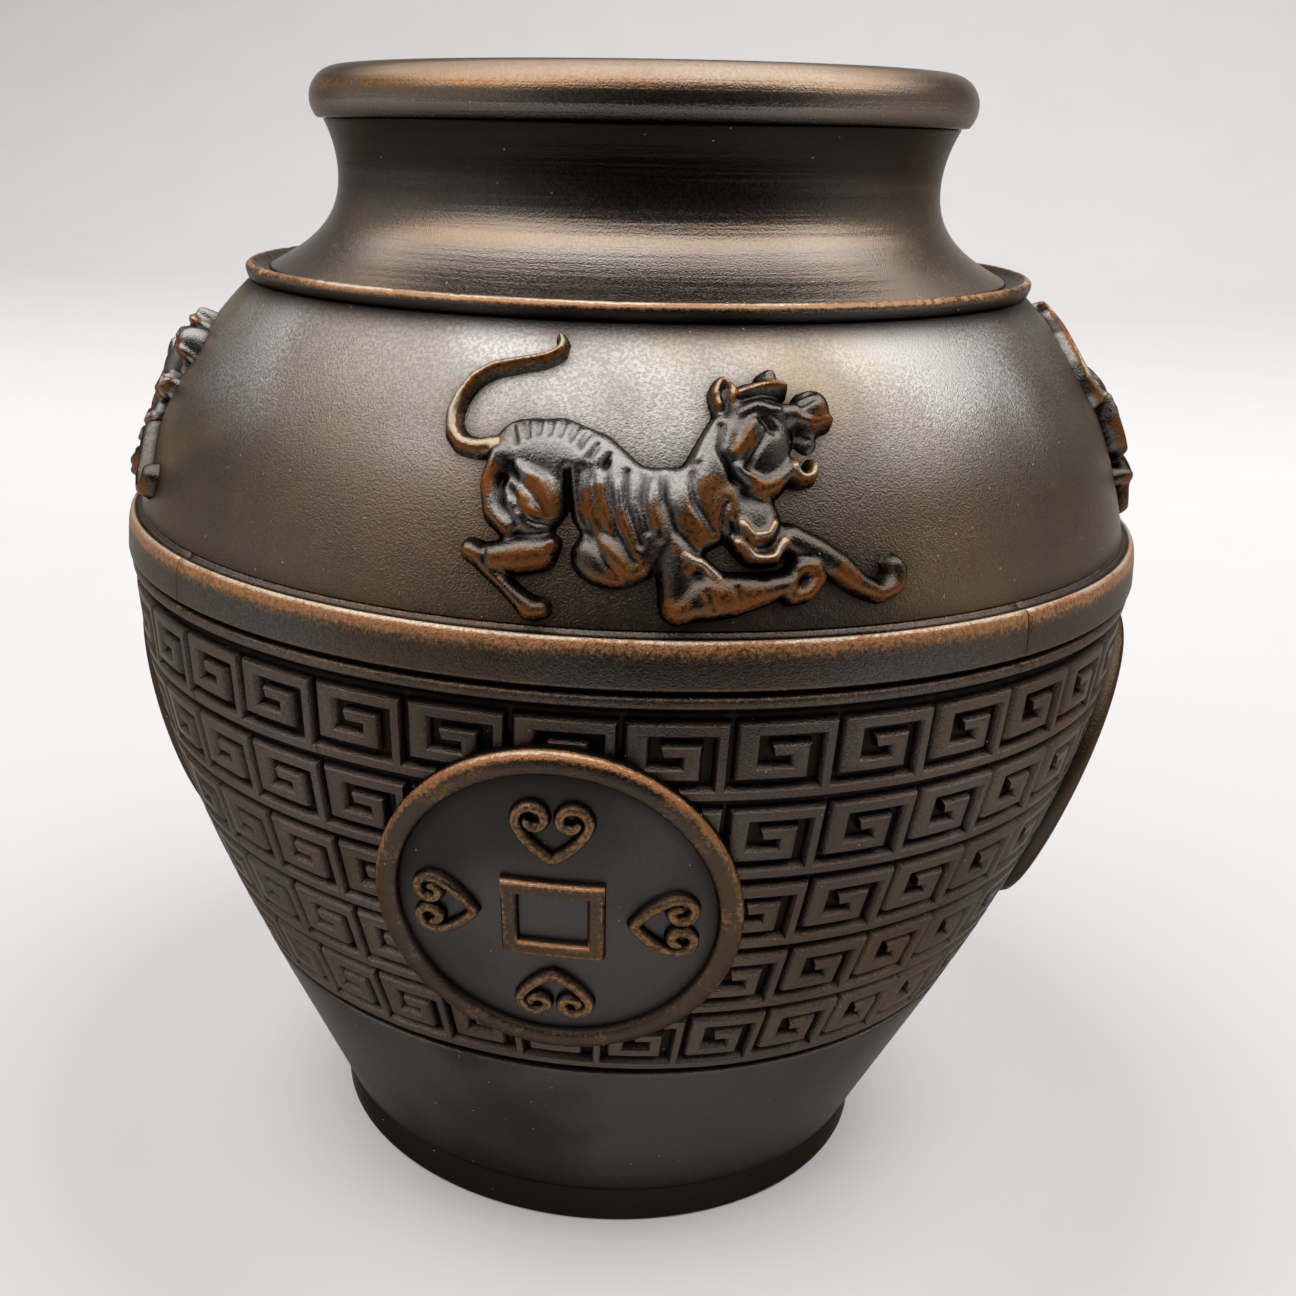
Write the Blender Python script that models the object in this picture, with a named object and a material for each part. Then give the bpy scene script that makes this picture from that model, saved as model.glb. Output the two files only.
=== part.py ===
"""Copper jar: turned rim, neck, collar and shoulder over four fret panels, a lower wall and a foot.

Four coin medallions sit on the panels and four prowling tigers on the shoulder. Metres, +Z up: the jar
stands on z = 0 with its axis on Z, and the middle of its front panel faces -Y. Angles round the jar are
measured from -Y towards +X.
"""

import math

import bmesh
import bpy
import numpy as np
from mathutils import Vector
from mathutils.geometry import delaunay_2d_cdt, interpolate_bezier

# Whole jar
GAP = 0.0003
RING_STEPS = 36
QUARTERS = 4
QUARTER_TURN = math.tau / QUARTERS
RING_START = QUARTER_TURN / 2
WALL_THICKNESS = 0.0026

# Mouth rim: an oval bead, flat below, with a rebate for the neck's spigot
BEAD_CENTRE = (0.0287, 0.1065)
BEAD_HALF_WIDTH = 0.00284
BEAD_HALF_HEIGHT = 0.0028
BEAD_UNDERSIDE = 0.1046
MOUTH_RADIUS = 0.0262
MOUTH_SPIGOT_RADIUS = 0.0278
MOUTH_SPIGOT_TOP = 0.1060

# Neck: flared top, waist, and a foot that sweeps out to a flange
WAIST_RADIUS = 0.02888
WAIST_HEIGHT = 0.0993
FLARE_RADIUS = 0.0301
FLANGE_RADIUS = 0.0354
FLANGE_TOP = 0.0912
FLANGE_HANDLES = ((0.02888, 0.0946), (0.0302, 0.0916))
NECK_SPIGOT_RADIUS = 0.0327
NECK_SPIGOT_BORE = 0.0307
NECK_SPIGOT_END = 0.0876
NECK_BORE_HANDLES = ((0.0307, 0.0925), (0.0262, 0.0935))
NECK_BORE_TOP = 0.0985

# Collar: a dished ring with a proud outer lip
COLLAR_RADIUS = 0.0379
COLLAR_LIP_RADIUS = 0.0375
COLLAR_LIP_TOP = 0.0916
COLLAR_DISH = 0.00105

# Shoulder: a quadratic curve from the seat under the collar to the belt
SEAT_HEIGHT = 0.0900
SHOULDER_TOP = (0.0374, SEAT_HEIGHT)
SHOULDER_HANDLE = (0.0460, 0.0820)
SHOULDER_FOOT = (0.0487, 0.0689)
SHOULDER_INNER_TOP = (0.0330, 0.0880)
SHOULDER_INNER_HANDLE = (0.0436, 0.0845)
TONGUE_RADIUS = 0.0469
TONGUE_BORE = 0.0453
TONGUE_END = 0.0665

# Belt and moulding at the top of each panel
BELT_FILLET = (0.04955, 0.0683)
BELT_CREST = (0.0500, 0.0675)
BELT_FOOT = (0.0502, 0.0647)
GROOVE_RADIUS = 0.0493
MOULDING_RADIUS = 0.0499
MOULDING_TOP = 0.0639
MOULDING_FOOT = 0.0631
GROOVE_SLOPE = 0.00028
GROOVE_WIDTH = 0.0002

# Wall: one curve from the moulding to the foot, with places along it measured from its top
WALL_TOP = (0.04973, 0.0640)
WALL_HANDLES = ((0.0496, 0.0440), (0.0390, 0.0250))
WALL_END = (0.0289, 0.0030)
FRET_START = 0.0015
FRET_END = 0.0419
SEAM_ANGLE = math.radians(0.45)
LIP_LENGTH = 0.0024
LIP_THICKNESS = 0.0014
LIP_ROOT = 0.0020

# Key fret: rows grow slightly down the wall, and a bar closes each row
FRET_COLUMNS = 9
FRET_ROWS = 5
ROW_PITCH = 0.0075
ROW_GROWTH = 0.000105
FRET_DEPTH = 0.00082
BAR_TOP = 0.86
BAR_FOOT = 0.955

# The key's stroke in shares of its cell, (across, down), from its root on the bar to its inner end and back
KEY_OUTER_SIDE = (
    (0.95, BAR_TOP), (0.95, 0.115), (0.065, 0.115), (0.065, 0.715), (0.70, 0.715), (0.70, 0.35), (0.36, 0.35),
)
KEY_INNER_SIDE = (
    (0.385, 0.455), (0.575, 0.455), (0.575, 0.61), (0.215, 0.61), (0.215, 0.225), (0.865, 0.225),
    (0.865, BAR_TOP),
)
KEY_OUTLINE = KEY_OUTER_SIDE + KEY_INNER_SIDE

# The coin's seat: cells left plain behind it
SEAT_ROWS = range(1, 4)
SEAT_COLUMNS = range(3, 6)

# Foot
FOOT_RADIUS = 0.0290
FOOT_BORE = 0.0254
FOOT_TOP = 0.0039
FOOT_CHAMFER = 0.0003
LEDGE_RADIUS = 0.0234
LEDGE_FOOT = 0.0009
LEDGE_TOP = 0.0019

# Coin medallion: distances are measured on the wall, with heights above it
COIN_ANGLE = math.radians(-0.8)
COIN_PLACE = 0.0206
COIN_STEPS = 28
COIN_HALF_WIDTH = 0.0154
COIN_HALF_HEIGHT = 0.01625
COIN_TOP = 0.0020
COIN_RIM_WIDTH = 0.0021
FIELD_TOP = 0.0010
FRAME_HALF_OUTER = 0.0041
FRAME_HALF_INNER = 0.0027
ORNAMENT_TOP = 0.0019

# Cloud scroll: two strokes that rise from a tip and wind in, lobes towards the coin's rim
CLOUD_PLACE = 0.0092
CLOUD_TIP = 0.0028
CLOUD_EYE = (0.0015, 0.0009)
CLOUD_LOBE_RADIUS = 0.00145
CLOUD_EYE_RADIUS = 0.0004
CLOUD_START = math.radians(-25)
CLOUD_TURN = math.radians(400)
CLOUD_RISE = 0.0022
CLOUD_STROKE = 0.00075
CLOUD_STEPS = 6

# Tiger: relief on the shoulder
TIGER_ANGLE = math.radians(7.5)
TIGER_PLACE = 0.0120
TIGER_MAP_RADIUS = 0.0460
TIGER_EDGE = 0.0008

# The tiger's outline in millimetres from its middle, x along its walk and y up the shoulder
TAIL_INNER_SIDE = (
    (-8.9, 10.5), (-8.1, 9.5), (-8.5, 8.4), (-10.1, 7.6), (-12.6, 7.1), (-14.6, 6.2), (-15.5, 4.7),
    (-15.8, 3.0), (-15.2, 1.6), (-14.1, 1.3),
)
BACK = (
    (-13.3, 1.6), (-12.1, 2.9), (-10.1, 3.6), (-7.8, 3.8), (-5.8, 3.1), (-4.4, 2.0), (-3.1, 0.6),
    (-1.1, 0.1), (1.2, 0.1), (2.4, 0.6),
)
HEAD = (
    (3.0, 2.2), (4.2, 3.8), (4.2, 5.7), (5.0, 6.7), (6.0, 5.9), (7.7, 6.1), (8.3, 7.2), (9.7, 7.2),
    (10.7, 6.0), (11.5, 5.7), (12.9, 5.6), (13.9, 4.4), (13.8, 2.7), (12.7, 1.1), (10.7, 1.3), (10.4, 0.3),
    (11.9, 0.1), (12.1, -1.1), (11.0, -2.0), (9.8, -1.4), (7.7, -2.6), (5.9, -2.1),
)
FORELEGS = (
    (6.2, -3.1), (8.3, -3.6), (9.2, -4.7), (11.4, -5.6), (13.7, -6.6), (15.4, -8.7), (16.6, -9.0),
    (16.6, -7.5), (18.0, -7.3), (18.6, -8.5), (17.9, -10.0), (16.4, -10.5), (14.9, -9.9), (13.4, -9.1),
    (11.8, -8.7), (10.9, -9.9), (9.5, -10.1), (9.0, -9.6), (6.2, -11.2), (3.2, -11.9), (0.8, -11.9),
)
BELLY = ((0.5, -9.0), (-0.1, -7.5), (-1.2, -9.2), (-3.6, -8.9), (-5.7, -7.7), (-6.2, -5.5))
HIND_LEG = (
    (-6.9, -7.0), (-8.6, -8.2), (-11.1, -9.1), (-9.3, -10.4), (-7.4, -10.7), (-7.6, -11.7), (-9.3, -11.9),
    (-10.3, -10.6), (-13.1, -8.7), (-13.9, -7.2), (-13.3, -6.6), (-11.9, -6.7), (-10.8, -5.4),
    (-11.8, -4.2), (-13.3, -2.5), (-13.2, -1.5), (-12.7, 0.0),
)
TAIL_OUTER_SIDE = (
    (-14.6, -0.2), (-16.2, 0.5), (-17.3, 2.2), (-17.4, 4.5), (-16.7, 6.5), (-15.1, 7.7), (-12.6, 8.3),
    (-10.3, 8.6), (-9.3, 9.5),
)
TIGER_OUTLINE = TAIL_INNER_SIDE + BACK + HEAD + FORELEGS + BELLY + HIND_LEG + TAIL_OUTER_SIDE

# High and low places inside the outline, as (x, y, height) in millimetres
TIGER_FORMS = {
    "tail": (
        (-8.7, 9.4, 1.2), (-9.9, 8.0, 1.2), (-12.5, 7.7, 1.2), (-14.9, 6.9, 1.2), (-16.2, 5.3, 1.2),
        (-16.6, 3.5, 1.2), (-16.2, 1.9, 1.2), (-14.9, 0.7, 1.2), (-13.5, 0.6, 1.2),
    ),
    "rump": ((-11.3, 1.4, 1.5), (-9.4, 2.3, 1.6), (-7.2, 2.3, 1.6), (-5.6, 1.3, 1.6), (-12.3, -2.2, 1.8)),
    "thigh": ((-10.4, -1.6, 1.9), (-8.6, -1.4, 2.0), (-8.5, -3.6, 2.0), (-10.2, -4.2, 1.8)),
    "thigh_fold": ((-6.9, -0.8, 1.2), (-6.5, -3.2, 0.9)),
    "shank": ((-9.2, -6.9, 1.7), (-11.1, -7.6, 1.6), (-12.8, -7.4, 1.5)),
    "hind_foot": ((-11.5, -9.3, 1.1), (-9.9, -10.6, 1.1), (-8.6, -11.2, 1.2)),
    "flank": ((-4.2, -0.7, 1.6), (-2.6, -2.4, 1.8), (-0.6, -2.7, 1.8), (1.4, -2.6, 1.8), (3.4, -2.6, 1.8)),
    "belly": ((-4.8, -4.6, 1.4), (-3.2, -6.6, 1.6), (-1.4, -5.8, 1.6), (0.7, -5.2, 1.5)),
    "near_foreleg": (
        (1.3, -8.0, 1.5), (1.4, -10.6, 1.5), (3.1, -10.1, 1.8), (5.2, -9.9, 1.8), (7.5, -9.4, 1.6),
        (9.6, -8.8, 1.5), (11.0, -9.0, 1.4), (11.0, -7.6, 1.5),
    ),
    "foreleg_fold": ((3.4, -7.6, 1.2), (6.2, -7.9, 0.9)),
    "far_foreleg": (
        (9.9, -5.9, 1.3), (12.0, -6.9, 1.3), (14.0, -8.5, 1.2), (15.6, -9.5, 1.2), (17.2, -9.4, 1.3),
        (17.4, -8.2, 1.3),
    ),
    "chest": ((5.0, -4.6, 1.3), (7.0, -5.2, 1.7), (7.4, -6.8, 1.7)),
    "neck": ((3.6, 0.2, 1.7), (4.6, 1.6, 1.6), (4.7, -0.8, 1.4), (4.9, -2.6, 1.4)),
    "cheek": ((6.2, 0.6, 1.8), (7.6, 1.9, 2.0), (9.4, 1.6, 1.8), (7.6, -1.6, 1.7), (9.4, -0.5, 1.6)),
    "brow": ((6.3, 4.0, 1.9), (7.9, 5.0, 2.0), (9.8, 4.9, 2.0), (8.1, 3.4, 1.7), (9.0, 6.4, 1.7)),
    "ear": ((5.0, 5.4, 1.4),),
    "muzzle": ((11.2, 4.2, 1.9), (12.4, 4.3, 2.2), (12.6, 2.6, 1.9), (11.0, 2.5, 1.6)),
    "chin": ((11.2, -1.0, 1.5),),
}
MILLIMETRE = 0.001

# Colours as linear values: patina, the browner fret wall, and copper rubbed bright
PATINA = (0.030, 0.022, 0.018)
FRET_BROWN = (0.052, 0.033, 0.023)
WORN_COPPER = (0.170, 0.075, 0.035)

MERGE_DISTANCE = 1e-6


def clear_scene():
    for obj in list(bpy.data.objects):
        bpy.data.objects.remove(obj, do_unlink=True)


def metal(name, colour, roughness):
    """One patinated copper finish."""
    material = bpy.data.materials.new(name)
    material.use_nodes = True
    shader = material.node_tree.nodes["Principled BSDF"]
    shader.inputs["Base Color"].default_value = (*colour, 1.0)
    shader.inputs["Roughness"].default_value = roughness
    shader.inputs["Metallic"].default_value = 0.9
    material.diffuse_color = (*colour, 1.0)
    return material


def finish(name, bm, colour, roughness):
    """Turns a bmesh into the named sub-part, with its own material."""
    mesh = bpy.data.meshes.new(name)
    bmesh.ops.recalc_face_normals(bm, faces=bm.faces)
    bm.to_mesh(mesh)
    bm.free()
    mesh.shade_smooth()
    mesh.set_sharp_from_angle(angle=math.radians(35))
    mesh.materials.append(metal(name, colour, roughness))
    obj = bpy.data.objects.new(name, mesh)
    bpy.context.scene.collection.objects.link(obj)
    return obj


def curve_points(start, first_handle, second_handle, end, steps):
    """Points along a cubic curve in the (radius, height) plane, both ends included."""
    corners = [Vector((radius, height, 0.0)) for radius, height in (start, first_handle, second_handle, end)]
    return [(point.x, point.y) for point in interpolate_bezier(*corners, steps + 1)]


def quadratic_points(start, handle, end, steps):
    """Points along a quadratic curve, raised to a cubic."""
    first = tuple(a + (b - a) * 2 / 3 for a, b in zip(start, handle))
    second = tuple(a + (b - a) * 2 / 3 for a, b in zip(end, handle))
    return curve_points(start, first, second, end, steps)


class Meridian:
    """A curve in the (radius, height) plane, read by the distance along it."""

    def __init__(self, points):
        self.points = np.array(points)
        steps = np.hypot(*np.diff(self.points, axis=0).T)
        self.along = np.concatenate([[0.0], np.cumsum(steps)])
        slopes = np.gradient(self.points, self.along, axis=0)
        self.slopes = slopes / np.hypot(*slopes.T)[:, None]

    def at(self, place, height=0.0):
        """(radius, height) at a distance along the curve, raised off the surface by height."""
        radius, level = (np.interp(place, self.along, column) for column in self.points.T)
        run, fall = (np.interp(place, self.along, column) for column in self.slopes.T)
        return radius - fall * height, level + run * height

    def stretch(self, start, end, steps, height=0.0):
        return [self.at(place, height) for place in np.linspace(start, end, steps + 1)]


WALL = Meridian(curve_points(WALL_TOP, *WALL_HANDLES, WALL_END, 200))
SHOULDER = Meridian(quadratic_points(SHOULDER_TOP, SHOULDER_HANDLE, SHOULDER_FOOT, 200))


def round_the_jar(radius, angle, level):
    return Vector((radius * math.sin(angle), -radius * math.cos(angle), level))


def turned_ring(outline):
    """A closed outline of (radius, height) points spun through a full turn."""
    bm = bmesh.new()
    corners = [bm.verts.new(round_the_jar(radius, RING_START, level)) for radius, level in outline]
    sides = [bm.edges.new(pair) for pair in zip(corners, corners[1:] + corners[:1])]
    bmesh.ops.spin(bm, geom=sides, axis=(0, 0, 1), cent=(0, 0, 0), angle=math.tau, steps=RING_STEPS)
    bmesh.ops.remove_doubles(bm, verts=bm.verts, dist=MERGE_DISTANCE)
    return bm


def mouth_rim():
    centre_radius, centre_height = BEAD_CENTRE
    first = math.asin((BEAD_UNDERSIDE - centre_height) / BEAD_HALF_HEIGHT)
    last = math.acos((MOUTH_RADIUS - centre_radius) / BEAD_HALF_WIDTH)
    bead = [
        (centre_radius + BEAD_HALF_WIDTH * math.cos(turn), centre_height + BEAD_HALF_HEIGHT * math.sin(turn))
        for turn in np.linspace(first, last, 10)
    ]
    rebate_radius = MOUTH_SPIGOT_RADIUS + GAP
    rebate_top = MOUTH_SPIGOT_TOP + GAP
    rebate = [(MOUTH_RADIUS, rebate_top), (rebate_radius, rebate_top), (rebate_radius, BEAD_UNDERSIDE)]
    finish("mouth_rim", turned_ring(bead + rebate), PATINA, 0.36)


def neck():
    flare_top = BEAD_UNDERSIDE - GAP
    flare_rate = (FLARE_RADIUS - WAIST_RADIUS) / (flare_top - WAIST_HEIGHT) ** 2
    levels = np.linspace(flare_top, WAIST_HEIGHT, 3)
    flare = [(WAIST_RADIUS + flare_rate * (level - WAIST_HEIGHT) ** 2, level) for level in levels]
    sweep = curve_points(flare[-1], *FLANGE_HANDLES, (FLANGE_RADIUS, FLANGE_TOP), 5)[1:]
    flange_foot = SEAT_HEIGHT + GAP
    spigot = [
        (FLANGE_RADIUS, flange_foot),
        (NECK_SPIGOT_RADIUS, flange_foot),
        (NECK_SPIGOT_RADIUS, NECK_SPIGOT_END),
    ]
    bore_foot = (NECK_SPIGOT_BORE, NECK_SPIGOT_END)
    bore = curve_points(bore_foot, *NECK_BORE_HANDLES, (MOUTH_RADIUS, NECK_BORE_TOP), 4)
    mouth = [
        (MOUTH_RADIUS, MOUTH_SPIGOT_TOP),
        (MOUTH_SPIGOT_RADIUS, MOUTH_SPIGOT_TOP),
        (MOUTH_SPIGOT_RADIUS, flare_top),
    ]
    finish("neck", turned_ring(flare + sweep + spigot + bore + mouth), PATINA, 0.38)


def collar_ring():
    inner = FLANGE_RADIUS + GAP
    foot = SEAT_HEIGHT + GAP
    edge = COLLAR_RADIUS - COLLAR_LIP_RADIUS
    outline = [
        (inner, SEAT_HEIGHT + COLLAR_DISH),
        (COLLAR_LIP_RADIUS - edge, COLLAR_LIP_TOP),
        (COLLAR_LIP_RADIUS, COLLAR_LIP_TOP),
        (COLLAR_RADIUS, COLLAR_LIP_TOP - edge),
        (COLLAR_RADIUS, foot),
        (inner, foot),
    ]
    finish("collar_ring", turned_ring(outline), PATINA, 0.40)


def shoulder():
    dome = quadratic_points(SHOULDER_TOP, SHOULDER_HANDLE, SHOULDER_FOOT, 7)
    tongue = [(TONGUE_RADIUS, SHOULDER_FOOT[1]), (TONGUE_RADIUS, TONGUE_END)]
    inside = quadratic_points((TONGUE_BORE, TONGUE_END), SHOULDER_INNER_HANDLE, SHOULDER_INNER_TOP, 5)
    seat = [(SHOULDER_INNER_TOP[0], SEAT_HEIGHT)]
    finish("shoulder", turned_ring(dome + tongue + inside + seat), PATINA, 0.34)


def panel_edge():
    """From the panel's lower end up its inner face, round the shoulder's tongue and down to the fret."""
    inner_radius = TONGUE_RADIUS + GAP
    top = SHOULDER_FOOT[1] - GAP
    inside = WALL.stretch(FRET_END, FRET_START, 5, -WALL_THICKNESS)[:-1]
    rebate = [(inner_radius, TONGUE_END - 2 * GAP), (inner_radius, top)]
    belt = [(SHOULDER_FOOT[0], top), BELT_FILLET, BELT_CREST, BELT_FOOT]
    upper_groove = MOULDING_TOP + GROOVE_SLOPE
    lower_groove = MOULDING_FOOT - GROOVE_SLOPE
    moulding = [
        (GROOVE_RADIUS, upper_groove + GROOVE_WIDTH),
        (GROOVE_RADIUS, upper_groove),
        (MOULDING_RADIUS, MOULDING_TOP),
        (MOULDING_RADIUS, MOULDING_FOOT),
        (GROOVE_RADIUS, lower_groove),
        (GROOVE_RADIUS, lower_groove - GROOVE_WIDTH),
    ]
    return inside + rebate + belt + moulding


def fret_place(down):
    """Distance along the wall of a place counted in rows."""
    return FRET_START + ROW_PITCH * down + ROW_GROWTH * down**2


def fret_foot():
    """The fret's lower end counted in rows."""
    spare = FRET_END - FRET_START
    return (math.sqrt(ROW_PITCH**2 + 4 * ROW_GROWTH * spare) - ROW_PITCH) / (2 * ROW_GROWTH)


def fret_outlines():
    """Outlines of a panel's raised and sunk faces, counted in keys across and rows down."""
    raised, sunk = [], []
    for row in range(FRET_ROWS):
        top = BAR_FOOT - 1 if row else 0.0
        for column in range(FRET_COLUMNS):
            left = [(0, BAR_TOP), (0, BAR_FOOT)]
            right = [(1, BAR_FOOT), (1, BAR_TOP)]
            if row in SEAT_ROWS and column in SEAT_COLUMNS:
                raised.append(moved([(0, top), *left, *right, (1, top)], column, row))
                continue
            raised.append(moved([*left, *right, *KEY_OUTLINE], column, row))
            channel = [(0, top), (0, BAR_TOP), *reversed(KEY_OUTLINE), (1, BAR_TOP), (1, top)]
            sunk.append(moved(channel, column, row))
    last_bar = FRET_ROWS - 1 + BAR_FOOT
    border = [(0, last_bar), (0, fret_foot()), (1, fret_foot()), (1, last_bar)]
    sunk.extend(moved(border, column, 0) for column in range(FRET_COLUMNS))
    return raised, sunk


def moved(outline, column, row):
    """An outline of one cell carried to its column and row, rounded so that neighbours share corners."""
    return [(round(column + across, 6), round(row + down, 6)) for across, down in outline]


def sides(outline):
    return zip(outline, outline[1:] + outline[:1])


def wall_panel(quarter):
    """One quarter of the wall, its keys standing on a sunk ground with upright sides."""
    start = (quarter - 0.5) * QUARTER_TURN + SEAM_ANGLE / 2
    column_angle = (QUARTER_TURN - SEAM_ANGLE) / FRET_COLUMNS
    bm = bmesh.new()
    corners = {}

    def corner(across, down, height):
        spot = (round(across, 6), round(down, 6), height)
        if spot not in corners:
            radius, level = WALL.at(fret_place(down), height)
            corners[spot] = bm.verts.new(round_the_jar(radius, start + across * column_angle, level))
        return corners[spot]

    rings = []
    for column in range(FRET_COLUMNS + 1):
        angle = start + column * column_angle
        edge = [bm.verts.new(round_the_jar(radius, angle, level)) for radius, level in panel_edge()]
        rings.append([corner(column, fret_foot(), -FRET_DEPTH), *edge, corner(column, 0.0, -FRET_DEPTH)])
    bar_side = ((BAR_TOP, -FRET_DEPTH), (BAR_TOP, 0.0), (BAR_FOOT, 0.0), (BAR_FOOT, -FRET_DEPTH))
    for column in (0, FRET_COLUMNS):
        bars = []
        for row in range(FRET_ROWS):
            bars.extend(corner(column, row + down, height) for down, height in bar_side)
        bm.faces.new(rings[column] + bars)
    for ring, following in zip(rings, rings[1:]):
        for i in range(len(ring) - 1):
            bm.faces.new((ring[i], ring[i + 1], following[i + 1], following[i]))

    raised, sunk = fret_outlines()
    ground_sides = set()
    for outline in sunk:
        bm.faces.new([corner(*spot, -FRET_DEPTH) for spot in outline])
        ground_sides.update(sides(outline))
    for outline in raised:
        bm.faces.new([corner(*spot, 0.0) for spot in outline])
        for here, there in sides(outline):
            if (there, here) in ground_sides:
                upper = (corner(*there, 0.0), corner(*here, 0.0))
                lower = (corner(*here, -FRET_DEPTH), corner(*there, -FRET_DEPTH))
                bm.faces.new(upper + lower)
    bmesh.ops.triangulate(bm, faces=[face for face in bm.faces if len(face.verts) > 4])
    finish(f"wall_panel_{quarter + 1}", bm, FRET_BROWN, 0.38)


def wall_panels():
    for quarter in range(QUARTERS):
        wall_panel(quarter)


def lower_wall():
    """The plain bowl, with a lip that rises inside the panels."""
    top = FRET_END + GAP
    foot_level = FOOT_TOP + GAP
    end = np.interp(-foot_level, -WALL.points[:, 1], WALL.along)
    outside = WALL.stretch(top, end, 5)
    lip_outer = -(WALL_THICKNESS + GAP)
    lip_inner = lip_outer - LIP_THICKNESS
    inner_foot = (outside[-1][0] - WALL_THICKNESS, foot_level)
    inside = WALL.stretch(end - WALL_THICKNESS, top + 2 * LIP_ROOT, 3, -WALL_THICKNESS)
    lip = [
        WALL.at(top + LIP_ROOT, lip_inner),
        WALL.at(FRET_END - LIP_LENGTH, lip_inner),
        WALL.at(FRET_END - LIP_LENGTH, lip_outer),
        WALL.at(top, lip_outer),
    ]
    finish("lower_wall", turned_ring(outside + [inner_foot] + inside + lip), PATINA, 0.40)


def foot_ring():
    outline = [
        (FOOT_RADIUS, FOOT_TOP),
        (FOOT_RADIUS, FOOT_CHAMFER),
        (FOOT_RADIUS - FOOT_CHAMFER, 0.0),
        (FOOT_BORE + FOOT_CHAMFER, 0.0),
        (FOOT_BORE, LEDGE_FOOT),
        (LEDGE_RADIUS, LEDGE_FOOT),
        (LEDGE_RADIUS, LEDGE_TOP),
        (FOOT_BORE, LEDGE_TOP),
        (FOOT_BORE, FOOT_TOP),
    ]
    finish("foot_ring", turned_ring(outline), PATINA, 0.42)


def base_plate():
    bm = bmesh.new()
    foot = LEDGE_TOP + GAP
    radius = FOOT_BORE - GAP
    angles = [RING_START + step * math.tau / RING_STEPS for step in range(RING_STEPS)]
    disc = bm.faces.new([bm.verts.new(round_the_jar(radius, angle, foot)) for angle in angles])
    raised = bmesh.ops.extrude_face_region(bm, geom=[disc], use_keep_orig=True)["geom"]
    corners = [item for item in raised if isinstance(item, bmesh.types.BMVert)]
    bmesh.ops.translate(bm, verts=corners, vec=(0, 0, FOOT_TOP - foot))
    finish("base_plate", bm, PATINA, 0.45)


def wrap(bm, place_of):
    """Moves every point of a flat relief, drawn as (across, up, height), to its place on the jar."""
    for vert in bm.verts:
        vert.co = place_of(*vert.co)
    return bm


def on_coin(quarter):
    """Where a point drawn on a medallion lies on that quarter's wall."""

    def place_of(across, up, height):
        place = COIN_PLACE - up
        radius, level = WALL.at(place, height)
        angle = COIN_ANGLE + quarter * QUARTER_TURN + across / WALL.at(place)[0]
        return round_the_jar(radius, angle, level)

    return place_of


def on_shoulder(quarter):
    """Where a point drawn on a tiger lies on that quarter's shoulder."""

    def place_of(across, up, height):
        radius, level = SHOULDER.at(TIGER_PLACE - up, height)
        angle = TIGER_ANGLE + quarter * QUARTER_TURN + across / TIGER_MAP_RADIUS
        return round_the_jar(radius, angle, level)

    return place_of


def oval(inset, turn, height):
    """A point on the coin's outline, drawn in by inset."""
    across = (COIN_HALF_WIDTH - inset) * math.cos(turn)
    up = (COIN_HALF_HEIGHT - inset) * math.sin(turn)
    return across, up, height


def bridged_rings(rings):
    """Closed rings of points joined each to the next, and the last to the first."""
    bm = bmesh.new()
    loops = [[bm.verts.new(point) for point in ring] for ring in rings]
    for loop, following in zip(loops, loops[1:] + loops[:1]):
        count = len(loop)
        for i in range(count):
            j = (i + 1) % count
            bm.faces.new((loop[i], loop[j], following[j], following[i]))
    return bm


def coin_turns():
    return [step * math.tau / COIN_STEPS for step in range(COIN_STEPS)]


def coin_rim(quarter):
    inner = COIN_RIM_WIDTH
    section = (
        (0.0, GAP),
        (0.0, COIN_TOP * 0.6),
        (inner * 0.3, COIN_TOP),
        (inner * 0.65, COIN_TOP),
        (inner, COIN_TOP * 0.6),
        (inner, GAP),
    )
    rings = [[oval(inset, turn, height) for turn in coin_turns()] for inset, height in section]
    bm = wrap(bridged_rings(rings), on_coin(quarter))
    finish(f"coin_rim_{quarter + 1}", bm, WORN_COPPER, 0.36)


def coin_plate(quarter):
    edge = COIN_RIM_WIDTH + GAP
    bm = bmesh.new()
    sides = []
    for height in (GAP, FIELD_TOP):
        middle = bm.verts.new((0.0, 0.0, height))
        half = [bm.verts.new(oval(COIN_HALF_WIDTH / 2, turn, height)) for turn in coin_turns()]
        outer = [bm.verts.new(oval(edge, turn, height)) for turn in coin_turns()]
        sides.append(outer)
        for i in range(COIN_STEPS):
            j = (i + 1) % COIN_STEPS
            bm.faces.new((middle, half[i], half[j]))
            bm.faces.new((half[i], outer[i], outer[j], half[j]))
    back, front = sides
    for i in range(COIN_STEPS):
        j = (i + 1) % COIN_STEPS
        bm.faces.new((back[i], back[j], front[j], front[i]))
    finish(f"coin_plate_{quarter + 1}", wrap(bm, on_coin(quarter)), PATINA, 0.45)


def square(half, height):
    """The corners and side middles of a square, in order."""
    corners = ((1, 1), (0, 1), (-1, 1), (-1, 0), (-1, -1), (0, -1), (1, -1), (1, 0))
    return [(half * across, half * up, height) for across, up in corners]


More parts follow.
